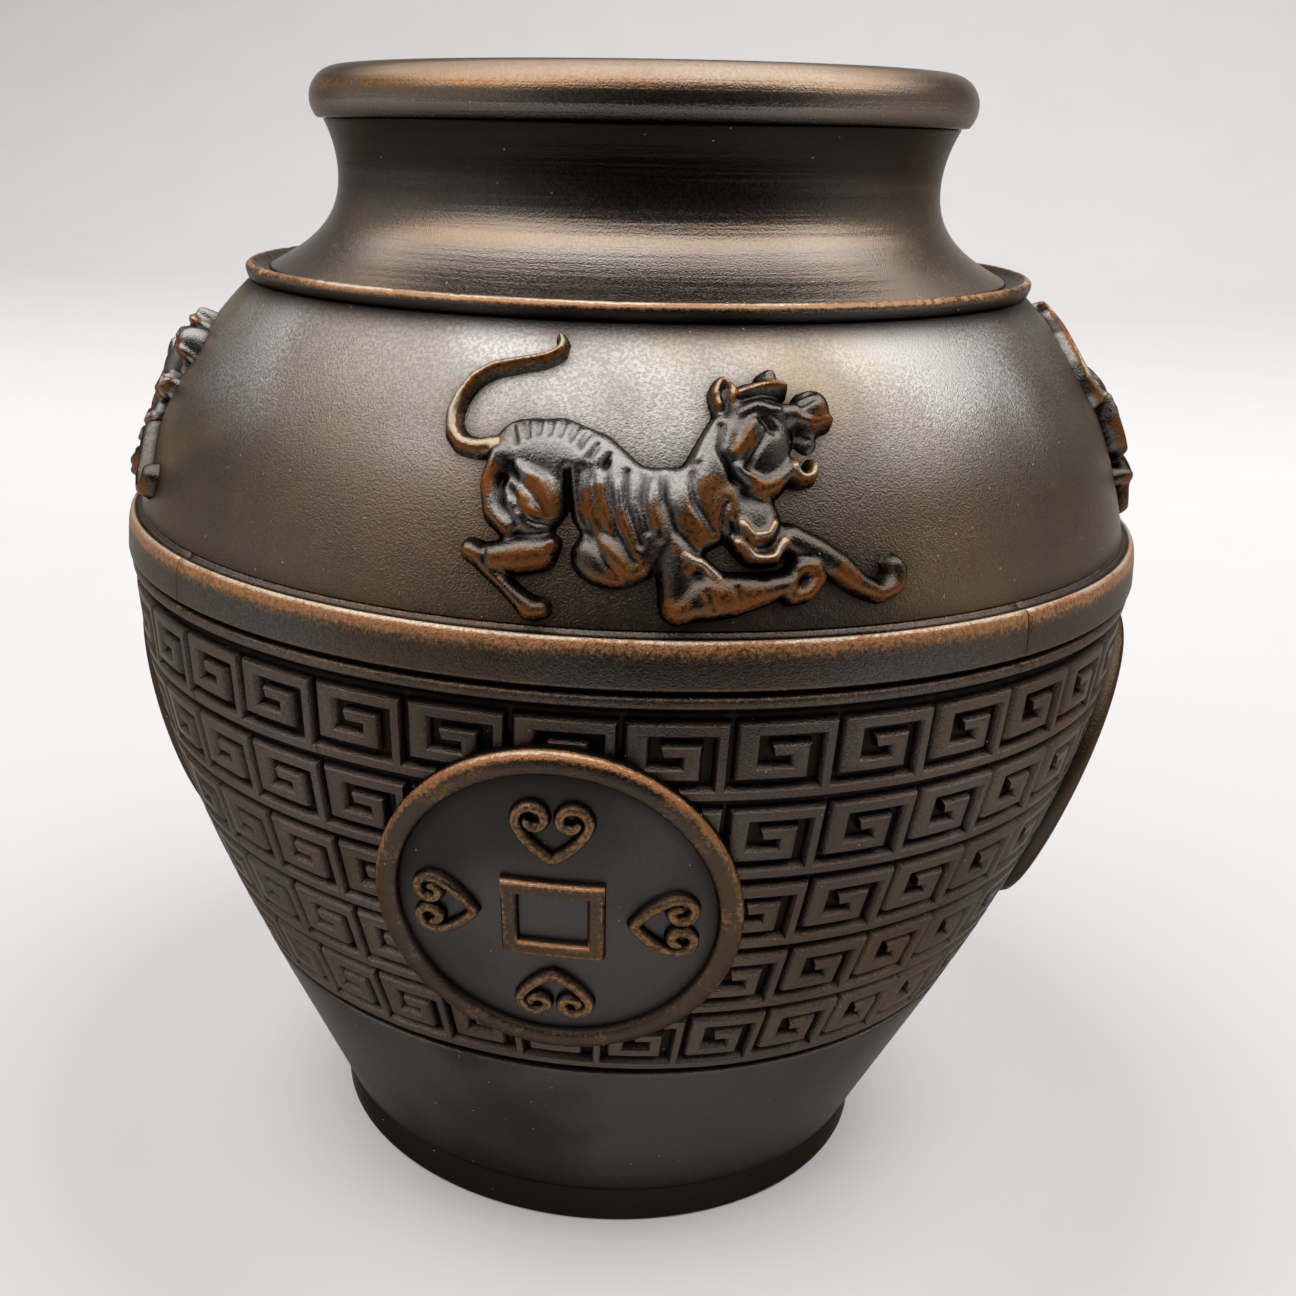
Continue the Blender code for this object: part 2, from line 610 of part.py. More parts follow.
def coin_frame(quarter):
    foot = FIELD_TOP + GAP
    rings = [
        square(FRAME_HALF_OUTER, foot),
        square(FRAME_HALF_OUTER, ORNAMENT_TOP),
        square(FRAME_HALF_INNER, ORNAMENT_TOP),
        square(FRAME_HALF_INNER, foot),
    ]
    bm = wrap(bridged_rings(rings), on_coin(quarter))
    finish(f"coin_frame_{quarter + 1}", bm, WORN_COPPER, 0.36)


def cloud_half():
    """The right-hand stroke's middle line: up from the tip, over the lobe and winding in to its eye."""
    eye_across, eye_up = CLOUD_EYE
    winding = []
    for share in np.linspace(0.0, 1.0, CLOUD_STEPS + 1):
        turn = CLOUD_START + share * CLOUD_TURN
        radius = CLOUD_LOBE_RADIUS + (CLOUD_EYE_RADIUS - CLOUD_LOBE_RADIUS) * share
        winding.append((eye_across + radius * math.cos(turn), eye_up + radius * math.sin(turn)))
    across, up = winding[0]
    handle = (across + CLOUD_RISE * math.sin(CLOUD_START), up - CLOUD_RISE * math.cos(CLOUD_START))
    return quadratic_points((0.0, -CLOUD_TIP), handle, winding[0], 3) + winding[1:]


def cloud_line():
    right = cloud_half()
    left = [(-across, up) for across, up in reversed(right)]
    return np.array(left + right[1:])


def cloud(name, quarter, toward):
    """A cloud scroll on the coin's field, its lobes pointing along toward."""
    line = cloud_line()
    ahead = np.gradient(line, axis=0)
    ahead /= np.hypot(*ahead.T)[:, None]
    sideways = np.column_stack([-ahead[:, 1], ahead[:, 0]]) * CLOUD_STROKE / 2
    right_hand = np.array((toward[1], -toward[0]))
    foot = FIELD_TOP + GAP
    bm = bmesh.new()
    ribs = []
    for centre, side in zip(line, sideways):
        rib = []
        for edge, height in ((1, foot), (1, ORNAMENT_TOP), (-1, ORNAMENT_TOP), (-1, foot)):
            across, up = centre + edge * side
            flat = across * right_hand + (CLOUD_PLACE + up) * np.array(toward)
            rib.append(bm.verts.new((*flat, height)))
        ribs.append(rib)
    for rib, following in zip(ribs, ribs[1:]):
        for i in range(4):
            j = (i + 1) % 4
            bm.faces.new((rib[i], rib[j], following[j], following[i]))
    bm.faces.new(ribs[0])
    bm.faces.new(ribs[-1])
    finish(name, wrap(bm, on_coin(quarter)), WORN_COPPER, 0.36)


def coins():
    directions = {"top": (0, 1), "right": (1, 0), "bottom": (0, -1), "left": (-1, 0)}
    for quarter in range(QUARTERS):
        coin_plate(quarter)
        coin_rim(quarter)
        coin_frame(quarter)
        for side, toward in directions.items():
            cloud(f"cloud_{side}_{quarter + 1}", quarter, toward)


def tiger_relief():
    """A flat-backed relief drawn as (across, up, height), from its outline over its high and low places."""
    edge = TIGER_EDGE / MILLIMETRE
    drawn = [(across, up, edge) for across, up in TIGER_OUTLINE]
    for form in TIGER_FORMS.values():
        drawn.extend(form)
    count = len(TIGER_OUTLINE)
    flat = [Vector(spot[:2]) for spot in drawn]
    inside_outline = 1
    filled = delaunay_2d_cdt(flat, [], [range(count)], inside_outline, MERGE_DISTANCE / MILLIMETRE)
    triangles, sources = filled[2], filled[3]
    bm = bmesh.new()
    front = [bm.verts.new(Vector(spot) * MILLIMETRE) for spot in drawn]
    back = [bm.verts.new((across * MILLIMETRE, up * MILLIMETRE, GAP)) for across, up in TIGER_OUTLINE]
    for triangle in triangles:
        bm.faces.new([front[sources[corner][0]] for corner in triangle])
    bm.faces.new(back)
    for i in range(count):
        j = (i + 1) % count
        bm.faces.new((back[i], back[j], front[j], front[i]))
    bmesh.ops.triangulate(bm, faces=[face for face in bm.faces if len(face.verts) > 4])
    return bm


def tigers():
    for quarter in range(QUARTERS):
        bm = wrap(tiger_relief(), on_shoulder(quarter))
        finish(f"tiger_{quarter + 1}", bm, WORN_COPPER, 0.36)


clear_scene()
mouth_rim()
neck()
collar_ring()
shoulder()
wall_panels()
lower_wall()
foot_ring()
base_plate()
coins()
tigers()
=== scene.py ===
"""The looks of a small copper jar: turned body, key fret panels, coin medallions, tigers and a pale stage.

Metres, +Z up. Angles round the jar are measured from -Y, where the viewer stands, towards +X. Every piece
carries a point attribute of wear and painted shade: below 0 it is painted shade, -1 deep in a groove; 0 on
plain patina, up to 1 on a rubbed edge, above 1 on bare copper and above 2 on a polished crest with a painted
highlight.
"""

import math
from typing import NamedTuple

import bmesh
import bpy
import numpy as np
from bpy.props import FloatProperty, FloatVectorProperty, IntProperty, PointerProperty
from mathutils import Matrix, Vector


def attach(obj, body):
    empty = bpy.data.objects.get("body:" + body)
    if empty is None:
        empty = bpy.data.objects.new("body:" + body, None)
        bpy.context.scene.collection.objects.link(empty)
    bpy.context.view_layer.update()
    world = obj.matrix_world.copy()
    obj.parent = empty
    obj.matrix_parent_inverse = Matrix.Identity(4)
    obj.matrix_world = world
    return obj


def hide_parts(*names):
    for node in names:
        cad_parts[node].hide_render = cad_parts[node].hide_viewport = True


bl_info = {
    "name": "Copper jar",
    "version": (1, 0, 0),
    "blender": (4, 5, 0),
    "location": "View3D > Sidebar > Copper jar",
    "description": "Builds the visible pieces of a patinated copper jar around its packed frame",
    "category": "Add Mesh",
}

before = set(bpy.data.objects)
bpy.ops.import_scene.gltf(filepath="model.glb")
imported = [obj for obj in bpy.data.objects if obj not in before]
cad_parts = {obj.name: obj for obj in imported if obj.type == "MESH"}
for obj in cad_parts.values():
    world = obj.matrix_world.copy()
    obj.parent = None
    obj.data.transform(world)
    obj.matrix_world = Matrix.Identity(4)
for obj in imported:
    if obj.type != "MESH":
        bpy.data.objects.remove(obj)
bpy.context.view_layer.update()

MM = 0.001
QUARTERS = 4
QUARTER_TURN = math.tau / QUARTERS

# Curves of the body in millimetres, as (radius, height) control points
WALL_CURVE = ((49.73, 64.0), (49.6, 44.0), (39.0, 25.0), (28.9, 3.0))
SHOULDER_CURVE = ((37.4, 90.0), (46.0, 82.0), (48.7, 68.9))
SHOULDER_INSIDE = ((45.3, 66.5), (43.6, 84.5), (33.0, 88.0))
NECK_SWEEP = ((28.88, 99.3), (28.88, 95.3), (31.5, 93.2), (35.55, 91.15))
NECK_INSIDE = ((30.7, 87.6), (30.7, 92.5), (26.2, 93.5), (26.2, 98.5))

# The tiger is drawn on the unrolled shoulder, 40 units to the millimetre, y downwards
DRAWING_UNIT = MM / 40
DRAWING_MIDDLE = (883, 520)

# Rounded strokes: height in millimetres, then (x, y, half width in millimetres) along the stroke
TIGER_STROKES = {
    "tail": (1.2, ((530, 112, 0.42), (548, 140, 0.5), (540, 175, 0.6), (490, 200, 0.62), (400, 220, 0.66),
                   (320, 240, 0.7), (262, 280, 0.72), (228, 340, 0.74), (215, 400, 0.76), (228, 455, 0.78),
                   (265, 492, 0.8), (320, 500, 0.85), (380, 488, 0.9))),
    "back": (1.65, ((470, 500, 2.7), (570, 500, 2.9), (670, 545, 3.1), (760, 640, 3.4), (840, 680, 3.8),
                    (930, 670, 3.6), (1020, 640, 3.2))),
    "buttock": (1.9, ((395, 520, 0.8), (378, 600, 0.85), (400, 690, 0.85), (450, 735, 0.8))),
    "calf": (1.75, ((545, 800, 1.4), (480, 812, 1.5), (410, 822, 1.1), (370, 818, 0.9), (345, 806, 0.9))),
    "hind_foot": (1.3, ((385, 845, 0.7), (440, 888, 0.66), (490, 930, 0.72), (530, 965, 0.95),
                        (560, 962, 0.85))),
    "upper_arm": (1.6, ((950, 740, 2.0), (940, 850, 1.45), (938, 945, 1.15))),
    "forearm": (1.85, ((945, 950, 1.15), (1010, 912, 1.85), (1090, 905, 1.7), (1180, 892, 1.25),
                       (1250, 876, 1.0))),
    "near_paw": (1.65, ((1248, 872, 0.75), (1288, 826, 0.75), (1332, 826, 0.76), (1345, 862, 0.76),
                        (1310, 903, 0.75), (1266, 914, 0.7))),
    "far_leg": (1.4, ((1270, 745, 1.25), (1350, 785, 1.2), (1420, 835, 1.2), (1480, 888, 0.95),
                      (1540, 918, 0.82), (1588, 900, 0.95), (1602, 855, 0.98), (1592, 838, 0.9))),
    "neck": (1.75, ((1010, 600, 2.2), (1060, 500, 1.9), (1095, 430, 1.7))),
    "jaw": (1.75, ((1110, 540, 0.85), (1145, 575, 0.95), (1185, 596, 1.0), (1222, 588, 0.95),
                   (1258, 560, 0.8), (1292, 530, 0.65))),
    "chin": (1.7, ((1285, 530, 0.55), (1308, 572, 0.55), (1345, 566, 0.58), (1357, 528, 0.5))),
    "lip": (2.0, ((1315, 400, 0.5), (1370, 416, 0.52), (1425, 402, 0.5))),
    "nose_bridge": (1.95, ((1215, 385, 1.2), (1310, 378, 1.1))),
    "brow": (1.95, ((1135, 315, 0.42), (1190, 300, 0.55), (1245, 292, 0.66), (1285, 296, 0.6))),
    "ear": (1.6, ((1068, 352, 0.42), (1060, 300, 0.42), (1085, 260, 0.42), (1118, 285, 0.42),
                  (1112, 335, 0.42))),
    "upper_curl": (1.75, ((1120, 700, 0.45), (1150, 737, 0.45), (1200, 732, 0.45), (1217, 700, 0.45))),
    "lower_curl": (1.75, ((1108, 750, 0.52), (1150, 802, 0.55), (1215, 800, 0.55), (1242, 750, 0.5))),
    "elbow_ridge": (1.7, ((955, 792, 0.5), (1005, 812, 0.55), (1050, 850, 0.5))),
}

# Thin strokes that are polished along their middle, with a painted highlight where they face up
TIGER_CRESTS = ("tail", "ear", "brow", "upper_curl", "lower_curl", "elbow_ridge", "chin")

# Domes: height, middle, then half width and half height in millimetres
TIGER_DOMES = {
    "belly": (1.55, (762, 800), (3.2, 2.4)),
    "thigh": (2.0, (515, 640), (2.6, 3.1)),
    "head": (2.0, (1190, 425), (2.9, 4.2)),
    "muzzle": (2.25, (1376, 362), (1.62, 1.72)),
    "mouth": (0.5, (1350, 455), (1.1, 1.0)),
    "crown": (1.9, (1243, 258), (0.9, 0.8)),
    "ear_hollow": (0.9, (1088, 312), (0.6, 0.9)),
    "chest": (1.3, (1155, 700), (2.4, 2.7)),
    "hock": (1.6, (582, 772), (0.75, 0.75)),
    "paw_hollow": (0.8, (1300, 865), (0.8, 0.7)),
}

# Ridges raised on what lies below: rise, half width, then the line
TIGER_RIDGES = (
    (0.35, 0.45, ((990, 512), (1010, 450), (1050, 390), (1078, 352))),
    (0.2, 0.5, ((1140, 318), (1200, 298), (1300, 302))),
    (0.32, 0.45, ((1130, 378), (1180, 360), (1245, 378))),
    (0.35, 0.5, ((1165, 415), (1140, 455), (1110, 500))),
    (0.3, 0.5, ((460, 560), (500, 570), (545, 600), (570, 660))),
    (0.25, 0.5, ((455, 655), (490, 690), (540, 690))),
    (0.22, 0.55, ((705, 600), (725, 690), (775, 790), (820, 850))),
    (0.22, 0.5, ((762, 600), (775, 690), (820, 780))),
    (0.22, 0.55, ((865, 590), (862, 660), (885, 740))),
    (0.2, 0.5, ((950, 600), (960, 660), (1000, 720))),
)

# Grooves cut into the tiger: depth, half width, then the line
TIGER_GROOVES = (
    (0.5, 0.26, ((455, 620), (480, 680), (530, 712), (600, 716))),
    (0.4, 0.24, ((440, 545), (470, 600), (520, 640), (560, 690))),
    (0.7, 0.34, ((612, 560), (626, 680), (612, 770), (630, 900))),
    (0.4, 0.36, ((650, 560), (655, 640), (690, 740), (740, 820), (800, 880))),
    (0.4, 0.36, ((682, 545), (692, 620), (722, 710), (790, 800), (832, 862))),
    (0.38, 0.36, ((732, 535), (737, 620), (767, 720), (820, 812))),
    (0.38, 0.36, ((790, 560), (792, 650), (832, 762))),
    (0.36, 0.36, ((842, 562), (832, 640), (852, 722))),
    (0.38, 0.38, ((900, 560), (902, 640), (932, 722), (990, 782))),
    (0.36, 0.36, ((975, 560), (985, 640), (1040, 720))),
    (0.5, 0.3, ((1072, 420), (1058, 490), (1098, 562), (1150, 594))),
    (0.32, 0.24, ((1205, 440), (1160, 500), (1140, 542))),
    (0.5, 0.26, ((1190, 402), (1225, 440))),
    (0.25, 0.2, ((1140, 338), (1210, 326), (1285, 330))),
    (0.5, 0.2, ((1340, 330), (1372, 322))),
    (0.5, 0.2, ((1330, 357), (1362, 346))),
    (0.5, 0.26, ((1090, 770), (1060, 700), (1075, 640))),
    (0.45, 0.24, ((1090, 690), (1120, 770), (1180, 850))),
    (0.5, 0.26, ((1245, 800), (1262, 842))),
    (0.4, 0.22, ((430, 440), (452, 490))),
    (0.4, 0.22, ((470, 415), (485, 470))),
    (0.4, 0.22, ((510, 400), (518, 455))),
    (0.4, 0.22, ((550, 397), (550, 455))),
    (0.4, 0.22, ((590, 402), (582, 458))),
    (0.4, 0.22, ((630, 420), (615, 470))),
    (0.4, 0.22, ((665, 445), (645, 492))),
    (0.4, 0.22, ((700, 480), (678, 522))),
    (0.4, 0.22, ((735, 510), (715, 552))),
    (0.4, 0.2, ((1020, 900), (1040, 945))),
    (0.4, 0.2, ((1100, 885), (1120, 935))),
    (0.4, 0.2, ((385, 790), (400, 835))),
)

# Where handling has bared the tiger's copper: middle, radius in millimetres and weight
TIGER_BARE = (
    (540, 640, 1.9, 1.0), (400, 600, 1.3, 0.7), (490, 805, 2.3, 1.0), (355, 810, 1.1, 1.0),
    (580, 765, 0.9, 0.9), (540, 970, 1.1, 1.0), (700, 650, 1.6, 0.85), (760, 740, 2.0, 0.95),
    (800, 850, 1.9, 0.95),
    (870, 680, 1.3, 0.7), (1040, 650, 2.6, 0.8), (960, 740, 1.9, 0.75), (985, 825, 1.2, 1.0),
    (1050, 885, 1.9, 0.95), (1150, 920, 1.8, 1.0), (940, 950, 1.2, 1.0), (1300, 860, 1.6, 0.95),
    (1430, 860, 1.3, 0.9), (1560, 915, 1.4, 0.85), (1195, 785, 1.8, 1.0), (1190, 590, 1.4, 1.0),
    (1130, 470, 1.3, 0.6), (1330, 560, 1.1, 0.9), (1290, 525, 0.8, 0.8), (1385, 415, 1.0, 0.6),
)

# One key of the fret in shares of its cell, u to the right and v down: outer and inner edge of the stroke
KEY_STROKE = (
    ((0.95, 0.90), (0.865, 0.90)),
    ((0.95, 0.115), (0.865, 0.225)),
    ((0.51, 0.115), (0.55, 0.225)),
    ((0.065, 0.115), (0.215, 0.225)),
    ((0.065, 0.715), (0.215, 0.61)),
    ((0.38, 0.715), (0.40, 0.61)),
    ((0.70, 0.715), (0.575, 0.61)),
    ((0.70, 0.35), (0.575, 0.455)),
    ((0.36, 0.35), (0.385, 0.455)),
)
KEY_BAR = (
    ((0.0, 0.86), (0.0, 0.955)),
    ((0.33, 0.86), (0.33, 0.955)),
    ((0.67, 0.86), (0.67, 0.955)),
    ((1.0, 0.86), (1.0, 0.955)),
)


class JarBodySettings(bpy.types.PropertyGroup):
    """Sizes of the turned pieces."""

    ring_steps: IntProperty(
        name="Ring steps", description="Segments round a turned piece", default=240, min=24
    )
    corner: FloatProperty(
        name="Corner", description="How far a turned edge is rounded", default=0.00018, unit="LENGTH"
    )
    rim_radius: FloatProperty(
        name="Rim radius", description="Widest radius of the mouth's bead", default=0.03154, unit="LENGTH"
    )
    collar_radius: FloatProperty(
        name="Collar radius", description="Outer radius of the collar", default=0.0379, unit="LENGTH"
    )
    chip_depth: FloatProperty(
        name="Chip depth", description="How deep the collar's lip is chipped", default=0.00028, unit="LENGTH"
    )
    belt_radius: FloatProperty(
        name="Belt radius", description="Widest radius of the belt", default=0.0502, unit="LENGTH"
    )
    foot_radius: FloatProperty(
        name="Foot radius", description="Outer radius of the foot", default=0.029, unit="LENGTH"
    )


class JarFretSettings(bpy.types.PropertyGroup):
    """The key fret on the four panels."""

    columns: IntProperty(name="Columns", description="Keys across one panel", default=9, min=1)
    rows: IntProperty(name="Rows", description="Keys down one panel", default=5, min=1)
    start: FloatProperty(
        name="Start", description="Where the first row begins on the wall", default=0.0015, unit="LENGTH"
    )
    pitch: FloatProperty(
        name="Pitch", description="Height of the first row", default=0.0075, unit="LENGTH"
    )
    growth: FloatProperty(
        name="Growth", description="Added for each row, squared", default=0.000105, unit="LENGTH"
    )
    depth: FloatProperty(
        name="Depth", description="Depth of the ground below the keys", default=0.00082, unit="LENGTH"
    )
    unevenness: FloatProperty(
        name="Unevenness", description="Spread of the keys' heights", default=0.00006, unit="LENGTH"
    )
    seam_angle: FloatProperty(
        name="Seam", description="Half width of the groove at a seam", default=math.radians(0.09),
        subtype="ANGLE",
    )
    seed: IntProperty(name="Seed", description="Choice of uneven keys", default=4)


class JarCoinSettings(bpy.types.PropertyGroup):
    """The medallions."""

    half_width: FloatProperty(
        name="Half width", description="Half of a coin's width", default=0.0154, unit="LENGTH"
    )
    half_height: FloatProperty(
        name="Half height", description="Half of a coin's height", default=0.01625, unit="LENGTH"
    )
    place: FloatProperty(
        name="Place", description="Distance of a coin's middle down the wall", default=0.0206, unit="LENGTH"
    )
    angle: FloatProperty(
        name="Angle", description="Turn from its panel's middle", default=math.radians(-0.8), subtype="ANGLE"
    )
    stroke: FloatProperty(
        name="Stroke", description="Width of a cloud's stroke", default=0.0009, unit="LENGTH"
    )


class JarTigerSettings(bpy.types.PropertyGroup):
    """The tigers in relief."""

    angle: FloatProperty(
        name="Angle", description="Turn from its panel's middle", default=math.radians(7.5), subtype="ANGLE"
    )
    place: FloatProperty(
        name="Place", description="Distance of a tiger's middle down the shoulder", default=0.012,
        unit="LENGTH",
    )
    map_radius: FloatProperty(
        name="Map radius", description="Radius on which the drawing is unrolled", default=0.046,
        unit="LENGTH",
    )
    relief: FloatProperty(name="Relief", description="Scale of all heights", default=1.0, min=0.0)
    grid: FloatProperty(
        name="Grid", description="Spacing of the relief's points", default=0.00015, unit="LENGTH"
    )


class JarFinishSettings(bpy.types.PropertyGroup):
    """Colours and sheen of the copper."""

    dark: FloatVectorProperty(
        name="Dark", description="Thick patina", default=(0.160, 0.134, 0.113), subtype="COLOR", size=3
    )
    brown: FloatVectorProperty(
        name="Brown", description="Thin patina", default=(0.26, 0.165, 0.095), subtype="COLOR", size=3
    )
    gold: FloatVectorProperty(
        name="Gold", description="Wiped patina", default=(0.34, 0.235, 0.12), subtype="COLOR", size=3
    )
    # Grey bloom on the patina; where it rises with height it is also a painted sheen.
    bloom_and_sheen: FloatVectorProperty(
        name="Bloom", description="Grey lacquer bloom", default=(0.56, 0.53, 0.50), subtype="COLOR", size=3
    )
    # Painted shade: the near-black colour laid into grooves, undercuts and round the reliefs wherever the
    # attribute falls below 0.
    groove: FloatVectorProperty(
        name="Groove", description="Shading in grooves", default=(0.010, 0.008, 0.007), subtype="COLOR", size=3
    )
    rubbed: FloatVectorProperty(
        name="Rubbed", description="Rubbed edge", default=(0.31, 0.170, 0.075), subtype="COLOR", size=3
    )
    bare_copper: FloatVectorProperty(
        name="Bare copper", description="Rubbed through", default=(0.42, 0.125, 0.022), subtype="COLOR",
        size=3,
    )
    # Polished copper; laid on crests and up-facing edges, it is also a painted highlight.
    polish_and_highlight: FloatVectorProperty(
        name="Polish and highlight", description="Rubbed bright", default=(0.56, 0.46, 0.34), subtype="COLOR", size=3
    )
    dust: FloatVectorProperty(
        name="Dust", description="Specks of dust", default=(0.40, 0.38, 0.36), subtype="COLOR", size=3
    )
    edge_tint: FloatVectorProperty(
        name="Edge tint", description="Sheen at a glancing view", default=(0.55, 0.52, 0.49),
        subtype="COLOR", size=3,
    )
    roughness: FloatProperty(
        name="Roughness", description="Roughness of the patina", default=0.27, min=0.0, max=1.0
    )
    # Also scales the polished crests, and so their painted highlights.
    wear: FloatProperty(name="Wear", description="How far edges are rubbed", default=1.0, min=0.0)


class JarStageSettings(bpy.types.PropertyGroup):
    """Camera, lamps and floor."""

    camera_place: FloatVectorProperty(
        name="Camera place", description="Where the lens stands", default=(0.0112, -0.1566, 0.1039),
        unit="LENGTH", size=3,
    )
    heading: FloatProperty(
        name="Heading", description="Turn of the view about Z", default=math.radians(8.6), subtype="ANGLE"
    )
    pitch: FloatProperty(
        name="Pitch", description="How far the view looks down", default=math.radians(18.73), subtype="ANGLE"
    )
    roll: FloatProperty(
        name="Roll", description="Tilt of the picture", default=math.radians(1.08), subtype="ANGLE"
    )
    lens: FloatProperty(name="Lens", description="Focal length in millimetres", default=42.53)
    shift: FloatProperty(name="Shift", description="Sideways shift of the picture", default=0.1142)
    floor: FloatVectorProperty(
        name="Floor", description="Floor and backdrop", default=(0.53, 0.523, 0.520), subtype="COLOR", size=3
    )
    room: FloatProperty(name="Room", description="Brightness of the room beside the jar", default=0.46)
    lens_side: FloatProperty(
        name="Lens side", description="Where the dim side lies", default=math.radians(18), subtype="ANGLE"
    )
    front: FloatProperty(name="Front", description="Brightness of the room behind the lens", default=0.03)
    overhead: FloatProperty(name="Overhead", description="Watts of the soft lamp above", default=17.5)
    behind: FloatProperty(name="Behind", description="Watts of the lamp over the backdrop", default=6.0)


class JarSettings(bpy.types.PropertyGroup):
    """Everything a user may change."""

    body: PointerProperty(type=JarBodySettings)
    fret: PointerProperty(type=JarFretSettings)
    coin: PointerProperty(type=JarCoinSettings)
    tiger: PointerProperty(type=JarTigerSettings)
    finish: PointerProperty(type=JarFinishSettings)
    stage: PointerProperty(type=JarStageSettings)


def settings():
    """The jar's settings in the scene."""
    return bpy.context.scene.copper_jar


def bezier(controls, steps):
    """Points along a curve with any number of control points, both ends included."""
    share = np.linspace(0.0, 1.0, steps + 1)[:, None]
    layer = [np.tile(np.array(point, float), (steps + 1, 1)) for point in controls]
    while len(layer) > 1:
        layer = [first + (second - first) * share for first, second in zip(layer, layer[1:])]
    return layer[0]


class Meridian:
    """A curve in the (radius, height) plane, read by the distance along it."""

    def __init__(self, points):
        self.points = points
        steps = np.hypot(*np.diff(points, axis=0).T)
        self.along = np.concatenate([[0.0], np.cumsum(steps)])
        slopes = np.gradient(points, self.along, axis=0)
        self.slopes = slopes / np.hypot(*slopes.T)[:, None]

    def at(self, place, height=0.0):
        """(radius, level) at a distance along the curve, raised off the surface by height."""
        radius, level = (np.interp(place, self.along, column) for column in self.points.T)
        run, fall = (np.interp(place, self.along, column) for column in self.slopes.T)
        return radius - fall * height, level + run * height

    def stretch(self, start, end, steps, height=0.0, wear_and_shade=0.0):
        """Rows of (radius, level, wear and painted shade) between two places."""
        radius, level = self.at(np.linspace(start, end, steps + 1), height)
        return np.column_stack([radius, level, np.full(steps + 1, wear_and_shade)])


WALL = Meridian(bezier(WALL_CURVE, 300) * MM)
SHOULDER = Meridian(bezier(SHOULDER_CURVE, 300) * MM)


def around(radius, angle, level):
    """Points at an angle round the jar, as an array with x, y, z in its last axis."""
    x, y, z = np.broadcast_arrays(radius * np.sin(angle), -radius * np.cos(angle), level)
    return np.stack([x, y, z], axis=-1)


def curve_rows(controls, steps, wear_and_shade=0.0):
    """Rows of (radius, level, wear and painted shade) along a curve drawn in millimetres."""
    points = bezier(controls, steps) * MM
    return np.column_stack([points, np.full(len(points), wear_and_shade)])


def corner_rows(*corners):
    """Rows of (radius, level, wear and painted shade) from corners drawn in millimetres."""
    return np.array([(radius * MM, level * MM, wear_and_shade) for radius, level, wear_and_shade in corners])


def hump(values, middle, width):
    """A smooth rise to 1 at the middle."""
    return np.exp(-(((values - middle) / width) ** 2))


def softened(outline):
    """Rounds the sharp corners of a closed outline and keeps each corner's wear and painted shade close to
    it.
    """
    sharp_turn, most_of_side = 0.4, 0.3
    reach = settings().body.corner
    guard = 2.5 * reach
    rows = []
    count = len(outline)
    for index in range(count):
        here = outline[index]
        into = here[:2] - outline[index - 1][:2]
        away = outline[(index + 1) % count][:2] - here[:2]
        span_in, span_out = np.hypot(*into), np.hypot(*away)
        into, away = into / span_in, away / span_out
        turn = math.acos(np.clip(into @ away, -1.0, 1.0))
        if turn < sharp_turn:
            rows.append(here)
            continue
        start = here[:2] - into * min(reach, span_in * most_of_side)
        stop = here[:2] + away * min(reach, span_out * most_of_side)
        if here[2] > 0 and span_in > 3 * guard:
            rows.append([*(here[:2] - into * guard), 0.0])
        for point in (start, 0.25 * start + 0.5 * here[:2] + 0.25 * stop, stop):
            rows.append([*point, here[2]])
        if here[2] > 0 and span_out > 3 * guard:
            rows.append([*(here[:2] + away * guard), 0.0])
    return np.array(rows)


def grid_faces(rings, width, close_rings, close_width):
    """Quads between neighbouring points of a grid that is stored ring after ring."""
    ring = np.arange(rings if close_rings else rings - 1)[:, None]
    step = np.arange(width if close_width else width - 1)[None, :]
    following, beside = (ring + 1) % rings, (step + 1) % width
    corners = ((ring, step), (following, step), (following, beside), (ring, beside))
    return np.stack([row * width + place for row, place in corners], axis=-1).reshape(-1, 4).tolist()


def end_caps(rings, width):
    """The two faces that close the ends of a grid of rings."""
    return [list(range(width)), list(range((rings - 1) * width, rings * width))]


def new_object(name, points, faces, wear_and_shade, finish, sharp_angle=40):
    """A closed mesh with outward faces, smooth but for its sharp edges."""
    mesh = bpy.data.meshes.new(name)
    mesh.from_pydata(np.reshape(points, (-1, 3)).tolist(), [], faces)
    layer = mesh.attributes.new("wear_and_shade", "FLOAT", "POINT")
    layer.data.foreach_set("value", np.ravel(wear_and_shade).astype(np.float32))
    bm = bmesh.new()
    bm.from_mesh(mesh)
    bmesh.ops.recalc_face_normals(bm, faces=bm.faces)
    bm.to_mesh(mesh)
    bm.free()
    mesh.polygons.foreach_set("use_smooth", [True] * len(mesh.polygons))
    mesh.set_sharp_from_angle(angle=math.radians(sharp_angle))
    mesh.materials.append(finish)
    piece = bpy.data.objects.new(name, mesh)
    bpy.context.scene.collection.objects.link(piece)
    return piece


def place_piece(piece, slot, *nodes):
    """Ties a finished piece to the frame in place of its CAD nodes."""
    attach(piece, "root")
    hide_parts(*nodes)


